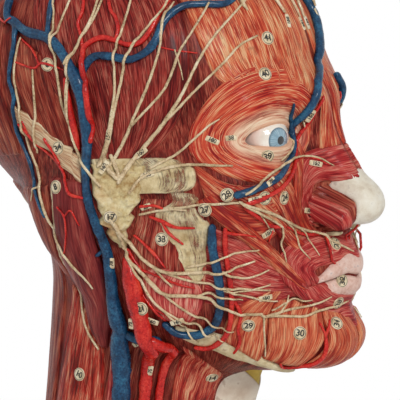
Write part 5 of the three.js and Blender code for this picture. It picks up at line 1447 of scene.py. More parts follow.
def build_labels():
    paper, ink = paper_paint(), ink_paint()
    for title, side in SIDES.items():
        papers, figures = [], []
        for table, strip in ((DISC_SHARES, False), (STRIP_SHARES, True)):
            for text, azimuth, share, turn in table:
                width = 2.2 + 1.5 * len(text) if strip else 0
                middle, ways = label_frame(azimuth * side, share / 1000, turn * side, STRIP_HEIGHT if strip else DISC_RADIUS)
                points, faces, uv = paper_shape(width)
                papers.append((middle + points @ ways, faces, uv))
                points, faces = figures_mesh(text, 1.9 if strip else FIGURE_HEIGHT)
                points[:, 2] += .07
                figures.append((middle + points @ ways, faces, np.zeros((len(points), 2))))
        finish_piece(joined_piece(f"number_papers_{title}", papers), "head", "paper_label", paper)
        made = joined_piece(f"number_figures_{title}", figures)
        made.data.set_sharp_from_angle(angle=math.radians(30))
        finish_piece(made, "head", "paper_label", ink)


build_labels()


# Eyes: the pupil looks a little outwards

GAZE_DEGREES = 24
IRIS_RADIUS, PUPIL_RADIUS, CORNEA_RISE = 6.2, 2.1, .7


def eye_paint():
    """White enamel, with a grey-blue iris and a black pupil."""
    paint = Paint("eye_glaze")
    place = paint.add("ShaderNodeAttribute", {"attribute_name": "from_pupil"}).value("Vector")
    reach = paint.add("ShaderNodeVectorMath", {"operation": "LENGTH"}, [place]).value("Value")
    cloud = paint.noise(paint.place(), 160, 3)
    white = paint.ramp(cloud, [(.35, (.74, .66, .56)), (.6, (.86, .81, .72))])
    white = paint.mix(reach.step(.75, 1.15) * .5, white, (.70, .38, .30))
    turn = paint.add("ShaderNodeVectorMath", {"operation": "NORMALIZE"}, [place]).value("Vector")
    rays_of_iris = paint.noise(paint.scaled(turn, (9, 9, 9)), 1.0, 3, .7)
    iris = paint.ramp(rays_of_iris, [(.3, (.10, .19, .26)), (.5, (.22, .36, .44)), (.7, (.42, .54, .60))])
    iris = paint.mix(reach.step(.47, .59) * .75, iris, (.03, .06, .09))
    colour = paint.mix(reach.step(.585, .60), iris, white)
    colour = paint.mix(reach.step(.195, .21), (.006, .006, .008), colour)
    return paint.finish(base_color=colour, roughness=.12, coat_weight=.5, coat_roughness=.05)


def build_eye(title, side, paint):
    bpy.ops.mesh.primitive_uv_sphere_add(segments=96, ring_count=64, radius=EYE_RADIUS)
    made = bpy.context.active_object
    made.name = f"eyeball_{title}"
    made.select_set(False)
    count = len(made.data.vertices)
    points = np.empty(count * 3)
    made.data.vertices.foreach_get("co", points)
    points = points.reshape(-1, 3)
    angle = math.radians(GAZE_DEGREES)
    gaze = np.array([math.cos(angle), -side * math.sin(angle), .0])
    beside = np.array([-gaze[1], gaze[0], .0])
    ahead = points @ gaze
    flat = np.stack([points @ beside, points[:, 2], np.where(ahead > 0, 0, 2 * EYE_RADIUS)], -1)
    near = np.linalg.norm(flat, axis=1)
    points = points + gaze * (CORNEA_RISE * (1 - smooth_step(0, IRIS_RADIUS * 1.1, near)))[:, None]
    centre = tilted(EYE_PLACE * [1, -side, 1]) + HEAD_PLACE
    made.data.vertices.foreach_set("co", ((points + centre) * MM).ravel())
    layer = made.data.attributes.new("from_pupil", "FLOAT_VECTOR", "POINT")
    layer.data.foreach_set("vector", (flat / 10).ravel())
    made.data.polygons.foreach_set("use_smooth", np.ones(len(made.data.polygons), bool))
    made.data.update()
    return finish_piece(made, "head", "eye_enamel", paint, f"eye_{title}")


glaze = eye_paint()
for title, side in SIDES.items():
    build_eye(title, side, glaze)


# The skull cap: a shell with its own muscle edges and the ways that run up onto it

CAP_UV_SHARE = .12
BROW_END = 46


def level_shares(level, azimuths, height):
    """The share at which each azimuth's level under the skin meets a height."""
    shares = np.linspace(.02, .32, 61)
    a, w = np.meshgrid(azimuths, shares, indexing="ij")
    around = (a + 180) % 360 - 180
    reach = skin.read(skin.reach, around, w) + level
    reach = trace(np.abs(around), w, reach, level, 12)
    start, way = rays(np.abs(around), w)
    z = (start + reach[..., None] * way)[..., 2]
    return np.array([np.interp(-height, -row, shares) for row in z])


def cap_paint():
    """A silvery sheet over the crown; towards the seam the red muscles of brow, temple and back."""
    paint = Paint("scalp_sheet")
    uv = paint.fibres()
    parts = paint.add("ShaderNodeSeparateXYZ", None, [uv])
    turn, along = parts.value("X") * (1 / CAP_UV_SHARE), parts.value("Y")
    turn_squared = turn * turn
    streak = paint.noise(paint.scaled(uv, (9, .5, 1)), 1.0, 2, .6)
    thin = paint.noise(paint.scaled(uv, (27, .7, 1)), 1.0, 2, .6)
    cloud = paint.noise(paint.place(), 30, 4, .6)
    tone = (streak * .6 + thin * .4 - .5) * 2.3 + .5
    cream = paint.ramp(tone, [(.2, (.42, .20, .11)), (.5, (.58, .40, .25)), (.8, (.70, .56, .38))])
    brow = paint.ramp(tone, [(.22, (.36, .03, .016)), (.42, (.56, .085, .038)), (.58, (.66, .24, .11)),
                             (.8, CREAM)])
    temple = paint.ramp(tone, [(.22, DARK), (.42, (.22, .016, .013)), (.58, (.36, .05, .032)),
                               (.8, (.5, .18, .11))])
    beside = turn_squared.step(BROW_END ** 2 - 60, BROW_END ** 2 + 60)
    behind = turn_squared.step(110 ** 2 - 200, 110 ** 2 + 200)
    start = beside * 1.6 + behind * 1.2 + 3.6
    muscle = (along + cloud * 1.2 + streak * 1.2 - start).step(1.0, 1.3)
    colour = paint.mix(muscle, cream, paint.mix(beside, brow, temple))
    gap = beside * (1 - turn_squared.step(BROW_END ** 2 + 60, BROW_END ** 2 + 200)) * muscle
    colour = bare_bone(paint, paint.mix(gap * .7, colour, DARK))
    return paint.finish(base_color=colour, roughness=cloud * .2 + .28, specular_IOR_level=.06,
                        normal=paint.bump(streak * .6 + thin * .4, .0007, .7), coat_weight=.06,
                        coat_roughness=.16)


def build_cap():
    height = SEAM + PIECE_GAP / 2
    outer_foot = seam_shares(skin, head_azimuths, height)
    inner_foot = level_shares(-SKULL_WALL, head_azimuths, height)
    count = len(head_azimuths)
    steps = np.linspace(.02, 1, 70)[:, None]
    azimuths = np.broadcast_to(head_azimuths, (70, count))
    outer, _ = skin.place(azimuths, outer_foot * steps, np.full(azimuths.shape, SKIN_UNDER))
    steps_in = np.linspace(1, .03, 30)[:, None]
    shares = inner_foot * steps_in
    around = np.abs((np.broadcast_to(head_azimuths, shares.shape) + 180) % 360 - 180)
    start, way = rays(around, shares)
    reach = trace(around, shares, skin.read(skin.reach, around, shares) - SKULL_WALL, -SKULL_WALL, 14)
    inner = start + reach[..., None] * way
    inner[..., 1] *= np.where(np.broadcast_to(head_azimuths, shares.shape) < 0, -1, 1)
    inner = tilted(inner) + HEAD_PLACE
    rings = [*outer, *inner]
    crown = skin.place(0, 0, SKIN_UNDER)[0]
    under_crown = inner[-1].mean(0)
    points = np.vstack([np.concatenate(rings), crown[None], under_crown[None]])
    total = len(rings) * count
    ends = [fan_faces(total, np.arange(count)), fan_faces(total + 1, np.arange(count) + total - count, flip=True)]
    rows = np.arange(len(rings))
    along = np.concatenate([np.linspace(.02, 1, 70) * 9, 9 + np.arange(30) * .3])
    uv = np.stack([np.tile(head_azimuths, len(rings)) * CAP_UV_SHARE, np.repeat(along[rows], count)], -1)
    uv = np.vstack([uv, [[0, 0], [0, 18]]])
    made = make_mesh("skull_cap_shell", points, [grid_faces(len(rings), count, wrap=True), *ends], uv)
    set_bone(made, np.arange(len(rings)) >= len(outer), count)
    return finish_piece(recalculated(made), "skull_cap", "painted_flesh", cap_paint(), "skull_cap")


# The brain: two halves with furrowed coils, and the leafy hindbrain under them

def brain_paint():
    paint = Paint("brain_coils")
    furrow = paint.add("ShaderNodeAttribute", {"attribute_name": "furrow"}).value("Fac")
    cloud = paint.noise(paint.place(), 35, 4, .6)
    vessel = paint.noise(paint.place(), 120, 3, .6)
    colour = paint.ramp(cloud, [(.3, (.50, .25, .17)), (.5, (.64, .38, .27)), (.7, (.72, .50, .37))])
    colour = paint.mix(furrow.step(.2, .9) * .85, colour, (.22, .03, .025))
    colour = paint.mix(vessel.step(.60, .64) * (1 - vessel.step(.66, .70)) * .5, colour, (.45, .04, .03))
    return paint.finish(base_color=colour, roughness=cloud * .2 + .32, specular_IOR_level=.15, coat_weight=.15,
                        coat_roughness=.15)


def smooth_max(first, second, blend):
    return -smooth_min(-first, -second, blend)


def coil_furrows(points, scale):
    """1 in the furrows of a winding pattern and 0 on the coils between them."""
    found = np.zeros(len(points))
    for k, point in enumerate(points):
        place = Vector(point)
        place += 7 * noise.noise_vector(place / 19)
        found[k] = noise.noise(place / scale) + .35 * noise.noise(place / (scale * .45))
    return np.exp(-(found / .13) ** 2)


def build_brain(title, side, paint):
    rows, columns = 120, 180
    polar = np.linspace(0, np.pi, rows + 2)[1:-1, None]
    turn = np.linspace(0, 2 * np.pi, columns, endpoint=False)[None, :]
    way = np.stack([np.sin(polar) * np.cos(turn), np.sin(polar) * np.sin(turn),
                    np.cos(polar) + 0 * turn], -1).reshape(-1, 3)
    way = np.vstack([way, [[0, 0, 1], [0, 0, -1]]])
    middle = np.array([BRAIN_CENTRE_SHARE * HEAD_LENGTH, -side * BRAIN_BREADTH / 4, .7 * HEAD_HEIGHT])
    radii = np.array([BRAIN_LENGTH / 2, BRAIN_BREADTH / 2])
    reach = np.full(len(way), 12.0)
    for _ in range(44):
        points = middle + reach[:, None] * way
        gap = form_distance(points, lids=False) + SKULL_WALL + BRAIN_CLEARANCE + .3
        q = (points[:, :2] - [middle[0], 0]) / radii
        near, far = np.linalg.norm(q, axis=1), np.linalg.norm(q / radii, axis=1)
        gap = smooth_max(gap, near * (near - 1) / np.maximum(far, 1e-9), 26)
        gap = smooth_max(gap, BRAIN_SPLIT / 2 + side * points[:, 1], 9)
        gap = smooth_max(gap, BRAIN_FLOOR + PIECE_GAP - points[:, 2], 30)
        reach = reach - .8 * gap
    furrow = coil_furrows(middle + reach[:, None] * way, 14)
    points = middle + (reach - 3.6 * furrow)[:, None] * way
    top, foot = len(points) - 2, len(points) - 1
    ends = [fan_faces(top, np.arange(columns)), fan_faces(foot, np.arange(columns) + (rows - 1) * columns, flip=True)]
    made = make_mesh(f"brain_coils_{title}", tilted(points) + HEAD_PLACE,
                     [grid_faces(rows, columns, wrap=True), *ends])
    layer = made.data.attributes.new("furrow", "FLOAT", "POINT")
    layer.data.foreach_set("value", furrow.astype(np.float32))
    return finish_piece(recalculated(made), f"brain_{title}", "painted_brain", paint, f"brain_{title}")


HINDBRAIN_SIZE = np.array([56.0, 84.0, 34.0])
HINDBRAIN_PLACE = np.array([-.17, 0, .478]) * HEAD_SIZE
HINDBRAIN_TOP = BRAIN_FLOOR - BRAIN_CLEARANCE


def build_hindbrain(paint):
    columns, rows = 160, 70
    turn = np.linspace(0, 2 * np.pi, columns, endpoint=False)[None, :]
    foot, top = -HINDBRAIN_SIZE[2] / 2, HINDBRAIN_TOP - HINDBRAIN_PLACE[2]
    heights = np.linspace(foot * .985, top, rows)
    inside = np.linspace(.97, .06, 30)
    levels = np.concatenate([heights, np.full(30, top)])[:, None]
    width = np.sqrt(np.maximum(1 - (2 * levels / HINDBRAIN_SIZE[2]) ** 2, 0))
    width[rows:] *= inside[:, None]
    leaf = np.abs(np.sin(levels * 1.9 + .6 * np.sin(3 * turn)))
    leaf[rows:] = np.abs(np.sin(width[rows:] * 34 + .5 * np.sin(3 * turn)))
    cleft = 1 - smooth_step(0, .16, np.abs(np.sin(turn)) + 0 * levels)
    furrow = np.clip((1 - leaf) * 1.3, 0, 1)
    shrink = 1 - .035 * furrow - .05 * cleft * (np.arange(rows + 30) < rows)[:, None]
    x = width * shrink * HINDBRAIN_SIZE[0] / 2 * np.cos(turn)
    y = width * shrink * HINDBRAIN_SIZE[1] / 2 * np.sin(turn)
    z = levels + 0 * turn
    z[rows:] -= .5 * furrow[rows:] + .2
    grid = np.stack([x, y, z], -1) + HINDBRAIN_PLACE
    total = (rows + 30) * columns
    poles = np.array([[0, 0, foot], [0, 0, top - .4]]) + HINDBRAIN_PLACE
    points = np.vstack([grid.reshape(-1, 3), poles])
    ends = [fan_faces(total, np.arange(columns)), fan_faces(total + 1, np.arange(columns) + total - columns)]
    made = make_mesh("hindbrain", tilted(points) + HEAD_PLACE, [grid_faces(rows + 30, columns, wrap=True), *ends])
    layer = made.data.attributes.new("furrow", "FLOAT", "POINT")
    layer.data.foreach_set("value", np.append(furrow.ravel(), [0, 0]).astype(np.float32))
    return finish_piece(recalculated(made), "head", "painted_brain", paint, "cerebellum")


coils = brain_paint()
cap = build_cap()
cap_ground = Ground()
cap_ground.add([cap])
build_cords(cap_ground, "skull_cap", CAP_SHARES, {"cap_veins": CAP_VEIN_SHARES}, False)
for title, side in SIDES.items():
    build_brain(title, side, coils)
build_hindbrain(coils)


# The larynx block: shield cartilage, ring and windpipe in relief on its front

LARYNX_WIDTH, LARYNX_HEIGHT, LARYNX_DROP = 38.0, 62.0, 9.0
LARYNX_DEPTH, LARYNX_CORNER = 13.0, 12.0
THROAT_HALF_WIDTH = 16.0


def larynx_relief(y, down):
    """How proud of the neck the front is, and its shares of cartilage and of red flesh."""
    across = np.abs(y)
    keel = 11.2 - .26 * np.clip(down, 0, 26)
    foot = 26.5 - 2.5 * (across / 13) ** 2
    shield = (1 - smooth_step(foot - 1, foot + 1, down)) * (1 - smooth_step(13, 15, across))
    roof = np.clip(1 - across / 15.5, 0, 1) ** 1.15
    ring = np.exp(-((down - 32.5 + .02 * across ** 2) / 3.2) ** 4) * np.clip(1 - (across / 12.5) ** 2, 0, 1) ** .5
    round_pipe = np.clip(1 - (across / 10) ** 2, 0, 1) ** .5
    hoops = .5 + .5 * np.cos((down - 40) * 2 * np.pi / 4.4)
    pipe = round_pipe * smooth_step(34, 38, down)
    lobe = np.exp(-((across - 12.5) / 4) ** 2 - ((down - 44) / 11) ** 4)
    bridge = np.exp(-((down - 41) / 3.4) ** 4) * (1 - smooth_step(10, 13, across))
    lobe = np.maximum(lobe, bridge * .75)
    height = shield * (keel * roof + .6) + ring * 4.2 + pipe * (2.2 + .8 * hoops)
    height = np.maximum(height, lobe * 4.4)
    height = height + 1.2 * (1 - shield) * roof * (down < 34)
    gristle = np.maximum(np.maximum(shield, ring), pipe * smooth_step(.25, .6, hoops))
    flesh = np.maximum(smooth_step(.35, .55, lobe), smooth_step(14.5, 16, across))
    return height, gristle * (1 - flesh), flesh


def larynx_paint():
    """Cream cartilage, yellow membrane in the hollows between and red flesh at the sides."""
    paint = Paint("larynx_cartilage")
    parts = paint.add("ShaderNodeSeparateXYZ", None,
                      [paint.add("ShaderNodeAttribute", {"attribute_name": "tissue"}).value("Vector")])
    gristle, flesh = parts.value("X"), parts.value("Y")
    cloud = paint.noise(paint.place(), 60, 4, .6)
    speck = paint.noise(paint.place(), 240, 3)
    streak = paint.noise(paint.scaled(paint.place(), (700, 700, 40)), 1.0, 3, .6)
    cream = paint.ramp(cloud, [(.3, (.60, .46, .34)), (.5, (.76, .66, .53)), (.7, (.82, .75, .64))])
    yellow = paint.ramp(cloud, [(.3, (.46, .28, .04)), (.5, (.64, .46, .10)), (.7, (.72, .58, .22))])
    red = paint.ramp(streak, [(.34, DARK), (.48, (.26, .018, .014)), (.62, (.46, .07, .045))])
    colour = paint.mix(gristle.step(.3, .6), yellow, cream)
    colour = paint.mix(speck.step(.60, .74) * .5, colour, (.34, .18, .10))
    colour = paint.mix(flesh.step(.4, .6), colour, red)
    return paint.finish(base_color=colour, roughness=cloud * .2 + .32, normal=paint.bump(speck, .0004, .5),
                        specular_IOR_level=.1, coat_weight=.06, coat_roughness=.2)


def set_tissue(made, gristle, flesh):
    layer = made.data.attributes.new("tissue", "FLOAT_VECTOR", "POINT")
    rest = len(made.data.vertices) - gristle.size
    both = np.stack([gristle.ravel(), flesh.ravel(), 0 * flesh.ravel()], -1)
    both = np.vstack([both, np.tile([0, 1, 0], (rest, 1))])
    layer.data.foreach_set("vector", both.ravel().astype(np.float32))


def on_neck(y, z, relief):
    """The points of the neck's front at some places across and up, as proud as the relief says."""
    x = np.full(y.shape, 30.0)
    for _ in range(30):
        x = x - .75 * (form_distance(untilted(np.stack([x, y, z], -1)), True) - relief)
    return np.stack([x, y, z], -1)


def build_larynx(paint):
    columns, rows = 160, 70
    outline = rounded_outline(LARYNX_WIDTH, LARYNX_HEIGHT, LARYNX_CORNER, columns)
    shares = np.linspace(.01, 1, rows)[:, None, None]
    flat = outline[None] * shares
    y, z = flat[..., 0], flat[..., 1] - LARYNX_DROP - LARYNX_HEIGHT / 2
    relief, gristle, flesh = larynx_relief(y, -LARYNX_DROP - z)
    side = smooth_step(0, .05, 1 - shares[..., 0] + 0 * y)
    side = np.maximum(side, smooth_step(12, 6, np.abs(y)) * (z > -LARYNX_DROP - 8))
    front = on_neck(y, z, .4 + relief * side - .5 * (1 - side))
    back_x = NECK_FRONT_BACK_RADIUS - NECK_AXIS_SET_BACK - LARYNX_DEPTH
    back = np.stack([np.full(columns, back_x), outline[:, 0], outline[:, 1] - LARYNX_DROP - LARYNX_HEIGHT / 2], -1)
    middle_place = np.array([[front[0, :, 0].mean(), 0, back[:, 2].mean()], [back_x, 0, back[:, 2].mean()]])
    points = np.vstack([front.reshape(-1, 3), back, middle_place]) + HEAD_PLACE
    total = (rows + 1) * columns
    ends = [fan_faces(total, np.arange(columns)), fan_faces(total + 1, np.arange(columns) + total - columns, flip=True)]
    made = make_mesh("larynx_block", points, [grid_faces(rows + 1, columns, wrap=True), *ends])
    set_tissue(made, gristle, flesh)
    return finish_piece(recalculated(made), "larynx", "painted_cartilage", paint, "larynx")


def build_throat(paint):
    """Above the block: the upper edge of the shield, and the yellow membrane up to the jaw."""
    rows, columns = 46, 61
    z = np.linspace(PIECE_GAP - LARYNX_DROP, 15, rows)[:, None] + np.zeros(columns)
    y = np.linspace(-THROAT_HALF_WIDTH, THROAT_HALF_WIDTH, columns) + 0 * z
    across = np.abs(y)
    keel = np.interp(z, [-9, 5, 13, 20], [46.8, 51, 54, 57])
    notch = 1.0 + 1.0 * across
    shield = 1 - smooth_step(notch - .6, notch + .6, z)
    x = keel - 14.5 * (across / THROAT_HALF_WIDTH) ** 1.35 - 1.3 * (1 - shield)
    rim = (across > THROAT_HALF_WIDTH - .1) | (z > 14.9)
    x = np.where(rim, x - 4, x)
    grid = np.stack([x, y, z], -1)
    back = grid.copy()
    back[..., 0] = 24
    count = 2 * (rows + columns) - 4
    edge = np.concatenate([grid[0], grid[1:, -1], grid[-1, -2::-1], grid[-2:0:-1, 0]])
    index = np.arange(rows * columns).reshape(rows, columns)
    loop = np.concatenate([index[0], index[1:, -1], index[-1, -2::-1], index[-2:0:-1, 0]])
    behind = edge.copy()
    behind[:, 0] = 24
    start = rows * columns
    walls = np.stack([loop, np.roll(loop, -1), start + np.roll(np.arange(count), -1), start + np.arange(count)], -1)
    points = np.vstack([grid.reshape(-1, 3), behind]) + HEAD_PLACE
    made = make_mesh("throat_cartilage", points, [grid_faces(rows, columns), walls, start + np.arange(count)[None]])
    set_tissue(made, shield, 0 * shield)
    return finish_piece(recalculated(made), "head", "painted_cartilage", paint)


def carve(head):
    """Cuts the bed that the larynx slides into and the nest that the hindbrain sits in."""
    outline = rounded_outline(LARYNX_WIDTH + 2 * PIECE_GAP, LARYNX_HEIGHT + 2 * PIECE_GAP, LARYNX_CORNER, 96)
    foot = NECK_FRONT_BACK_RADIUS - NECK_AXIS_SET_BACK - LARYNX_DEPTH - PIECE_GAP
    rings = [np.stack([np.full(96, x), outline[:, 0], outline[:, 1] - LARYNX_DROP - LARYNX_HEIGHT / 2], -1)
             for x in (foot, 2 * HEAD_LENGTH)]
    bed = make_mesh("larynx_bed_cutter", np.vstack(rings) + HEAD_PLACE,
                    [grid_faces(2, 96, wrap=True), np.arange(96)[None, ::-1], np.arange(96, 192)[None]])
    bpy.ops.mesh.primitive_uv_sphere_add(segments=64, ring_count=32, radius=1)
    nest = bpy.context.active_object
    nest.select_set(False)
    count = len(nest.data.vertices)
    points = np.empty(count * 3)
    nest.data.vertices.foreach_get("co", points)
    points = points.reshape(-1, 3) * (HINDBRAIN_SIZE / 2 + 2 * PIECE_GAP) + HINDBRAIN_PLACE
    nest.data.vertices.foreach_set("co", ((tilted(points) + HEAD_PLACE) * MM).ravel())
    nest.data.update()
    for cutter in (recalculated(bed), nest):
        cut = head.modifiers.new("cut", "BOOLEAN")
        cut.operation, cut.solver, cut.object = "DIFFERENCE", "EXACT", cutter
        bpy.context.view_layer.objects.active = head
        head.select_set(True)
        bpy.ops.object.modifier_apply(modifier=cut.name)
        head.select_set(False)
        bpy.data.objects.remove(cutter)


gristle_paint = larynx_paint()
build_larynx(gristle_paint)
build_throat(gristle_paint)
carve(head)


# The stand: turned wood, brass and iron

def wood_paint():
    """Pear wood stained black under a rubbed polish."""
    paint = Paint("black_polish")
    place = paint.place()
    grain = paint.noise(paint.scaled(place, (160, 160, 12)), 1.0, 4, .6)
    cloud = paint.noise(place, 18, 3)
    colour = paint.ramp(grain, [(.35, (.010, .007, .006)), (.55, (.022, .014, .011)), (.72, (.055, .030, .020))])
    worn = paint.noise(place, 90, 4).step(.62, .74) * .35
    colour = paint.mix(worn, colour, (.10, .055, .032))
    return paint.finish(base_color=colour, roughness=cloud * .25 + .2, normal=paint.bump(grain, .0002, .4),
                        coat_weight=.4, coat_roughness=.15)


def metal_paint(name, base, tarnish, roughness):
    paint = Paint(name)
    place = paint.place()
    cloud = paint.noise(place, 70, 4, .6)
    scratch = paint.noise(paint.scaled(place, (60, 60, 900)), 1.0, 3)
    colour = paint.mix(cloud.step(.45, .72) * .8, base, tarnish)
    return paint.finish(base_color=colour, metallic=.95 - cloud.step(.5, .75) * .3,
                        roughness=cloud * .25 + scratch * .12 + (roughness - .15),
                        normal=paint.bump(scratch, .0001, .3))


def felt_paint():
    paint = Paint("green_felt")
    fuzz = paint.noise(paint.place(), 900, 4, .7)
    colour = paint.ramp(fuzz, [(.35, (.010, .035, .018)), (.65, (.03, .08, .045))])
    return paint.finish(base_color=colour, roughness=.95, normal=paint.bump(fuzz, .0006, .8))


def eased(corners, radius=1.0, steps=4):
    """An outline with each inner corner rounded off."""
    corners = np.array(corners, float)
    drawn = [corners[0]]
    for before, corner, after in zip(corners[:-2], corners[1:-1], corners[2:]):
        back, ahead = before - corner, after - corner
        reach = min(radius, .45 * np.linalg.norm(back), .45 * np.linalg.norm(ahead))
        start = corner + back / np.linalg.norm(back) * reach
        end = corner + ahead / np.linalg.norm(ahead) * reach
        for t in np.linspace(0, 1, steps + 1):
            drawn.append((1 - t) ** 2 * start + 2 * t * (1 - t) * corner + t * t * end)
    drawn.append(corners[-1])
    return drawn


def turned_piece(name, outline, foot, body, slot, material, node, steps=128):
    """Spins an outline of radii and heights about the stand's axis."""
    mesh = bpy.data.meshes.new(name)
    points = [(radius * MM, 0, (height + foot) * MM) for radius, height in outline]
    mesh.from_pydata(points, [(k, k + 1) for k in range(len(points) - 1)], [])
    made = bpy.data.objects.new(name, mesh)
    bpy.context.scene.collection.objects.link(made)
    bpy.context.view_layer.objects.active = made
    made.select_set(True)
    bpy.ops.object.mode_set(mode="EDIT")
    bpy.ops.mesh.select_all(action="SELECT")
    bpy.ops.mesh.spin(steps=steps, angle=2 * math.pi, center=(0, 0, 0), axis=(0, 0, 1))
    bpy.ops.mesh.select_all(action="SELECT")
    bpy.ops.mesh.remove_doubles(threshold=.02 * MM)
    bpy.ops.mesh.normals_make_consistent(inside=False)
    bpy.ops.object.mode_set(mode="OBJECT")
    made.data.set_sharp_from_angle(angle=math.radians(40))
    made.data.polygons.foreach_set("use_smooth", np.ones(len(made.data.polygons), bool))
    made.select_set(False)
    return finish_piece(made, body, slot, material, node)


PLINTH_FOOT, PILLAR_FOOT, COLLAR_FOOT = 2.0, 32.0, 94.0


def build_stand():
    wood, felt = wood_paint(), felt_paint()
    brass = metal_paint("old_brass", (.62, .42, .14), (.20, .11, .045), .3)
    iron = metal_paint("grey_iron", (.30, .29, .28), (.09, .06, .045), .42)
    plinth = eased([(0, 0), (107, 0), (110, 2.6), (110, 12), (108.6, 13.4), (106.6, 13.6), (106.2, 15.6), (103, 16.6),
                    (97, 17.2), (90, 19), (83, 21.4), (74, 22), (66, 22.2), (60, 22.6), (58.4, 24.6), (54, 25),
                    (49.5, 25.6), (46.6, 27.4), (45, 30), (0, 30)], 1.6)
    turned_piece("plinth_turning", plinth, PLINTH_FOOT, "stand", "ebonised_wood", wood, "base_plinth", 160)
    pillar = eased([(0, .3), (33.6, .3), (34, 3), (33, 5.4), (28.6, 6.2), (27.4, 8.4), (26, 11), (22.8, 14.4),
                    (19, 18.6), (16.4, 22.6), (15.2, 26.6), (15, 30.4), (15.4, 31.4), (19.4, 32.6), (20.5, 35.2),
                    (19.4, 37.8), (15.6, 39), (15.4, 40.2), (16.2, 43.6), (18.2, 47.6), (21.2, 51.4), (23.6, 53.6),
                    (24.2, 55), (25.8, 56), (26, 60.6), (25, 62), (6.6, 62), (6.4, 61.6), (6.4, 22.2), (6, 22),
                    (0, 22)], 1.2)
    turned_piece("pillar_turning", pillar, PILLAR_FOOT, "stand", "ebonised_wood", wood, "stand_pillar")
    collar = eased([(6.4, .3), (21.6, .3), (22, .9), (21.2, 1.6), (21.9, 2.3), (21.2, 3), (21.8, 3.6), (20.4, 4.2),
                    (18, 4.6), (17.4, 5.6), (16.8, 6.6), (16, 7), (6.8, 7), (6.4, 6.6), (6.4, .3)], .5)
    turned_piece("collar_turning", collar, COLLAR_FOOT, "stand", "brass", brass, "pillar_collar")
    pad = eased([(0, 0), (103.6, 0), (104, .9), (103.4, 1.7), (0, 1.7)], .5)
    turned_piece("felt_pad", pad, 0, "stand", "felt", felt, "base_felt", 160)
    low, high = (corner.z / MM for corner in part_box("spindle"))
    rod = eased([(0, 0), (5.6, 0), (6, .6), (6, high - low - 3.4), (5.2, high - low - 2.2), (3, high - low),
                 (0, high - low)], .5)
    turned_piece("spindle_rod", rod, low, "stand", "iron", iron, "spindle", 64)
    low, high = (corner.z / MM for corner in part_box("neck_socket"))
    end = high - low
    tube = eased([(6.3, .4), (6.7, 0), (8.3, 0), (8.7, .4), (8.7, end - .5), (8.2, end), (0, end)], .3)
    tube = tube + [np.array([0, end - 2.4]), np.array([6.3, end - 2.4]), np.array([6.3, .4])]
    turned_piece("socket_tube", tube, low, "head", "brass", brass, "neck_socket", 64)
    return brass


brass = build_stand()


# Brass hooks, pins and studs behind the head

def plate_piece(name, outline, holes, thickness, frame_of, body, material, node):
    """A flat outline given a thickness and eased edges, in a frame of across, along and out."""
    shape = bpy.data.curves.new(name, "CURVE")
    shape.dimensions = "2D"
    shape.fill_mode = "BOTH"
    shape.extrude = (thickness / 2 - .25) * MM
    shape.bevel_depth = .25 * MM
    shape.offset = -.25 * MM
    shape.bevel_resolution = 3
    for way in (outline, *holes):
        line = shape.splines.new("POLY")
        line.points.add(len(way) - 1)
        for point, (x, y) in zip(line.points, way):
            point.co = (x * MM, y * MM, 0, 1)
        line.use_cyclic_u = True
    drawn = bpy.data.objects.new(name, shape)
    bpy.context.scene.collection.objects.link(drawn)
    mesh = bpy.data.meshes.new_from_object(drawn)
    bpy.data.objects.remove(drawn)
    mesh.transform(frame_of)
    made = bpy.data.objects.new(name, mesh)
    bpy.context.scene.collection.objects.link(made)
    bpy.context.view_layer.objects.active = made
    made.select_set(True)
    bpy.ops.object.mode_set(mode="EDIT")
    bpy.ops.mesh.select_all(action="SELECT")
    bpy.ops.mesh.remove_doubles(threshold=.01 * MM)
    bpy.ops.object.mode_set(mode="OBJECT")
    bpy.ops.object.shade_smooth_by_angle(angle=math.radians(35))
    made.select_set(False)
    return finish_piece(recalculated(made), body, "brass", material, node)


def arc(centre, radius, start, end, steps=14):
    angles = np.radians(np.linspace(start, end, steps))
    return [(centre[0] + radius * math.cos(angle), centre[1] + radius * math.sin(angle)) for angle in angles]


HOOK_AZIMUTH, HOOK_BELOW, HOOK_ABOVE = 150, 9.0, 8.0
HOOK_HALF, HOOK_HOLE, HOOK_TIP = 3.0, 1.8, 22.8
PIN_ROOT, PIN_RADIUS, PIN_STAND_OFF, HOOK_THICKNESS = 5.0, 1.5, 1.3, 1.6


def hook_frame(side):
    """The seat of a hook on the skin at the seam, the way out, and the way the cap lifts along it."""
    azimuths = np.array([HOOK_AZIMUTH * side, HOOK_AZIMUTH * side])
    share = seam_shares(skin, azimuths, SEAM)[0]
    seat, out = skin.place(HOOK_AZIMUTH * side, share)
    lift_way = tilted_way(np.array([0, 0, 1.0]))
    up = lift_way - (lift_way @ out) * out
    return Vector(seat), Vector(out), Vector(up).normalized()


def pin_piece(name, foot, out, body, node, material):
    """A pin with a domed head, along a way out of the skin."""
    reach = PIN_ROOT + PIN_STAND_OFF + HOOK_THICKNESS + 2 * PIECE_GAP
    outline = eased([(0, 0), (PIN_RADIUS, 0), (PIN_RADIUS, reach), (2.9, reach), (3, reach + .5),
                     (2.3, reach + 1.15), (1.2, reach + 1.4), (0, reach + 1.42)], .35)
    made = turned_piece(name, outline, 0, body, "brass", material, node, 48)
    turn = out.to_track_quat("Z", "Y").to_matrix().to_4x4()
    made.data.transform(Matrix.Translation(foot * MM) @ turn)
    return made


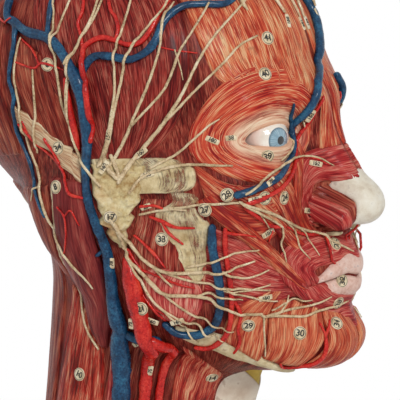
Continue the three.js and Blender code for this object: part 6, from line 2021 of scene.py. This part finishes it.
def build_hooks(material):
    for title, side in SIDES.items():
        seat, out, up = hook_frame(side)
        for kind, along, body in (("hook_pin", -HOOK_BELOW, "head"), ("cap_stud", HOOK_ABOVE, "skull_cap")):
            foot = seat + up * along - out * PIN_ROOT
            pin_piece(f"{kind}_turning_{title}", foot, out, body, f"{kind}_{title}", material)
        reach = HOOK_BELOW + HOOK_ABOVE
        outline = [*arc((0, 0), HOOK_HALF, 180, 360, 24), (HOOK_HALF, reach - HOOK_HOLE), (0, reach - HOOK_HOLE),
                   *arc((0, reach), HOOK_HOLE, 270, 90, 18), (HOOK_HALF, reach + HOOK_HOLE),
                   *arc((HOOK_HALF - 2.2, reach + HOOK_HOLE + 1.8), 2.2, 0, 80, 8),
                   *arc((-HOOK_HALF + 2.6, reach + HOOK_HOLE + 1.4), 2.6, 100, 180, 8)]
        hole = arc((0, 0), HOOK_HOLE, 360, 0, 25)[:-1]
        if side == LEFT:
            outline = [(-x, y) for x, y in outline]
            hole = [(-x, y) for x, y in hole]
        down = Vector((0, 0, -1)) - out * Vector((0, 0, -1)).dot(out)
        down.normalize()
        across = down.cross(out)
        pin_reach = PIN_ROOT + PIN_STAND_OFF + HOOK_THICKNESS + 2 * PIECE_GAP
        middle = (seat + up * -HOOK_BELOW + out * (pin_reach - PIN_ROOT - PIECE_GAP - HOOK_THICKNESS / 2)) * MM
        frame_of = Matrix.Translation(middle) @ Matrix((across, down, out)).transposed().to_4x4()
        plate_piece(f"hook_strap_{title}", outline, [hole], HOOK_THICKNESS, frame_of, f"cap_hook_{title}", material,
                    f"cap_hook_{title}")


build_hooks(brass)


# Camera, floor and light

TARGET = Vector((6 * MM, 0, (HEAD_PLACE[2] + 100) * MM))
VIEW_AZIMUTH, VIEW_ELEVATION = math.radians(26), math.radians(9)
VIEW_DISTANCE, VIEW_ASIDE, VIEW_DOWN = 1.0, .015, .009
LENS_WIDTH = 36.0
# How strongly the white surroundings light the head
WORLD_LIGHT = .34


def build_stage():
    back = Vector((math.sin(VIEW_AZIMUTH) * math.cos(VIEW_ELEVATION),
                   -math.cos(VIEW_AZIMUTH) * math.cos(VIEW_ELEVATION), math.sin(VIEW_ELEVATION)))
    right = Vector((math.cos(VIEW_AZIMUTH), math.sin(VIEW_AZIMUTH), 0))
    up = back.cross(right)
    camera = bpy.data.objects.new("camera", bpy.data.cameras.new("camera"))
    bpy.context.scene.collection.objects.link(camera)
    aim = TARGET + right * VIEW_ASIDE - up * VIEW_DOWN
    camera.matrix_world = Matrix.Translation(aim + back * VIEW_DISTANCE) @ Matrix(
        (right, up, back)).transposed().to_4x4()
    camera.data.sensor_width = LENS_WIDTH
    camera.data.lens = LENS_WIDTH * VIEW_DISTANCE / (400 * .5 * MM)
    camera.data.clip_end = 50
    bpy.context.scene.camera = camera

    bpy.ops.mesh.primitive_plane_add(size=12, location=(0, 0, 0))
    floor = bpy.context.active_object
    floor.name = "floor"
    floor.select_set(False)
    paint = Paint("pale_floor")
    paint.finish(base_color=(.92, .92, .92), roughness=.9)
    glow = paint.add("ShaderNodeEmission", None, {"Color": (1.0, 1.0, 1.0), "Strength": 1.0})
    reach = paint.add("ShaderNodeVectorMath", {"operation": "LENGTH"}, [paint.place()]).value("Value")
    mixed = paint.add("ShaderNodeMixShader", None, {0: paint.seen() * (reach.step(.2, .7) * .3 + .7)})
    paint.tree.links.new(paint.surface.outputs[0], mixed.node.inputs[1])
    paint.tree.links.new(glow.node.outputs[0], mixed.node.inputs[2])
    paint.tree.links.new(mixed.node.outputs[0], paint.tree.nodes["Material Output"].inputs["Surface"])
    floor.data.materials.append(paint.material)
    floor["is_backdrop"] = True

    world = bpy.data.worlds.new("studio")
    bpy.context.scene.world = world
    sky = Paint("studio", world)
    sky.finish(color=(1.0, 1.0, 1.0), strength=sky.seen() * (1 - WORLD_LIGHT) + WORLD_LIGHT)

    for name, place, size, power in (
        ("key", (1.15, -1.15, 1.25), .5, 19),
        ("fill", (-.9, -1.3, .9), 1.0, 2.6),
        ("back", (-.9, 1.2, 1.3), 1.0, 5.5),
    ):
        lamp = bpy.data.objects.new(name, bpy.data.lights.new(name, "AREA"))
        lamp.data.size = size
        lamp.data.energy = power
        lamp.location = place
        way = TARGET - Vector(place)
        lamp.rotation_euler = way.to_track_quat("-Z", "Y").to_euler()
        bpy.context.scene.collection.objects.link(lamp)
    bpy.context.scene.view_settings.view_transform = "Standard"


build_stage()

{"cad": [list(corner) for corner in cad_box], "visual": [list(corner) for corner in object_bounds()]}
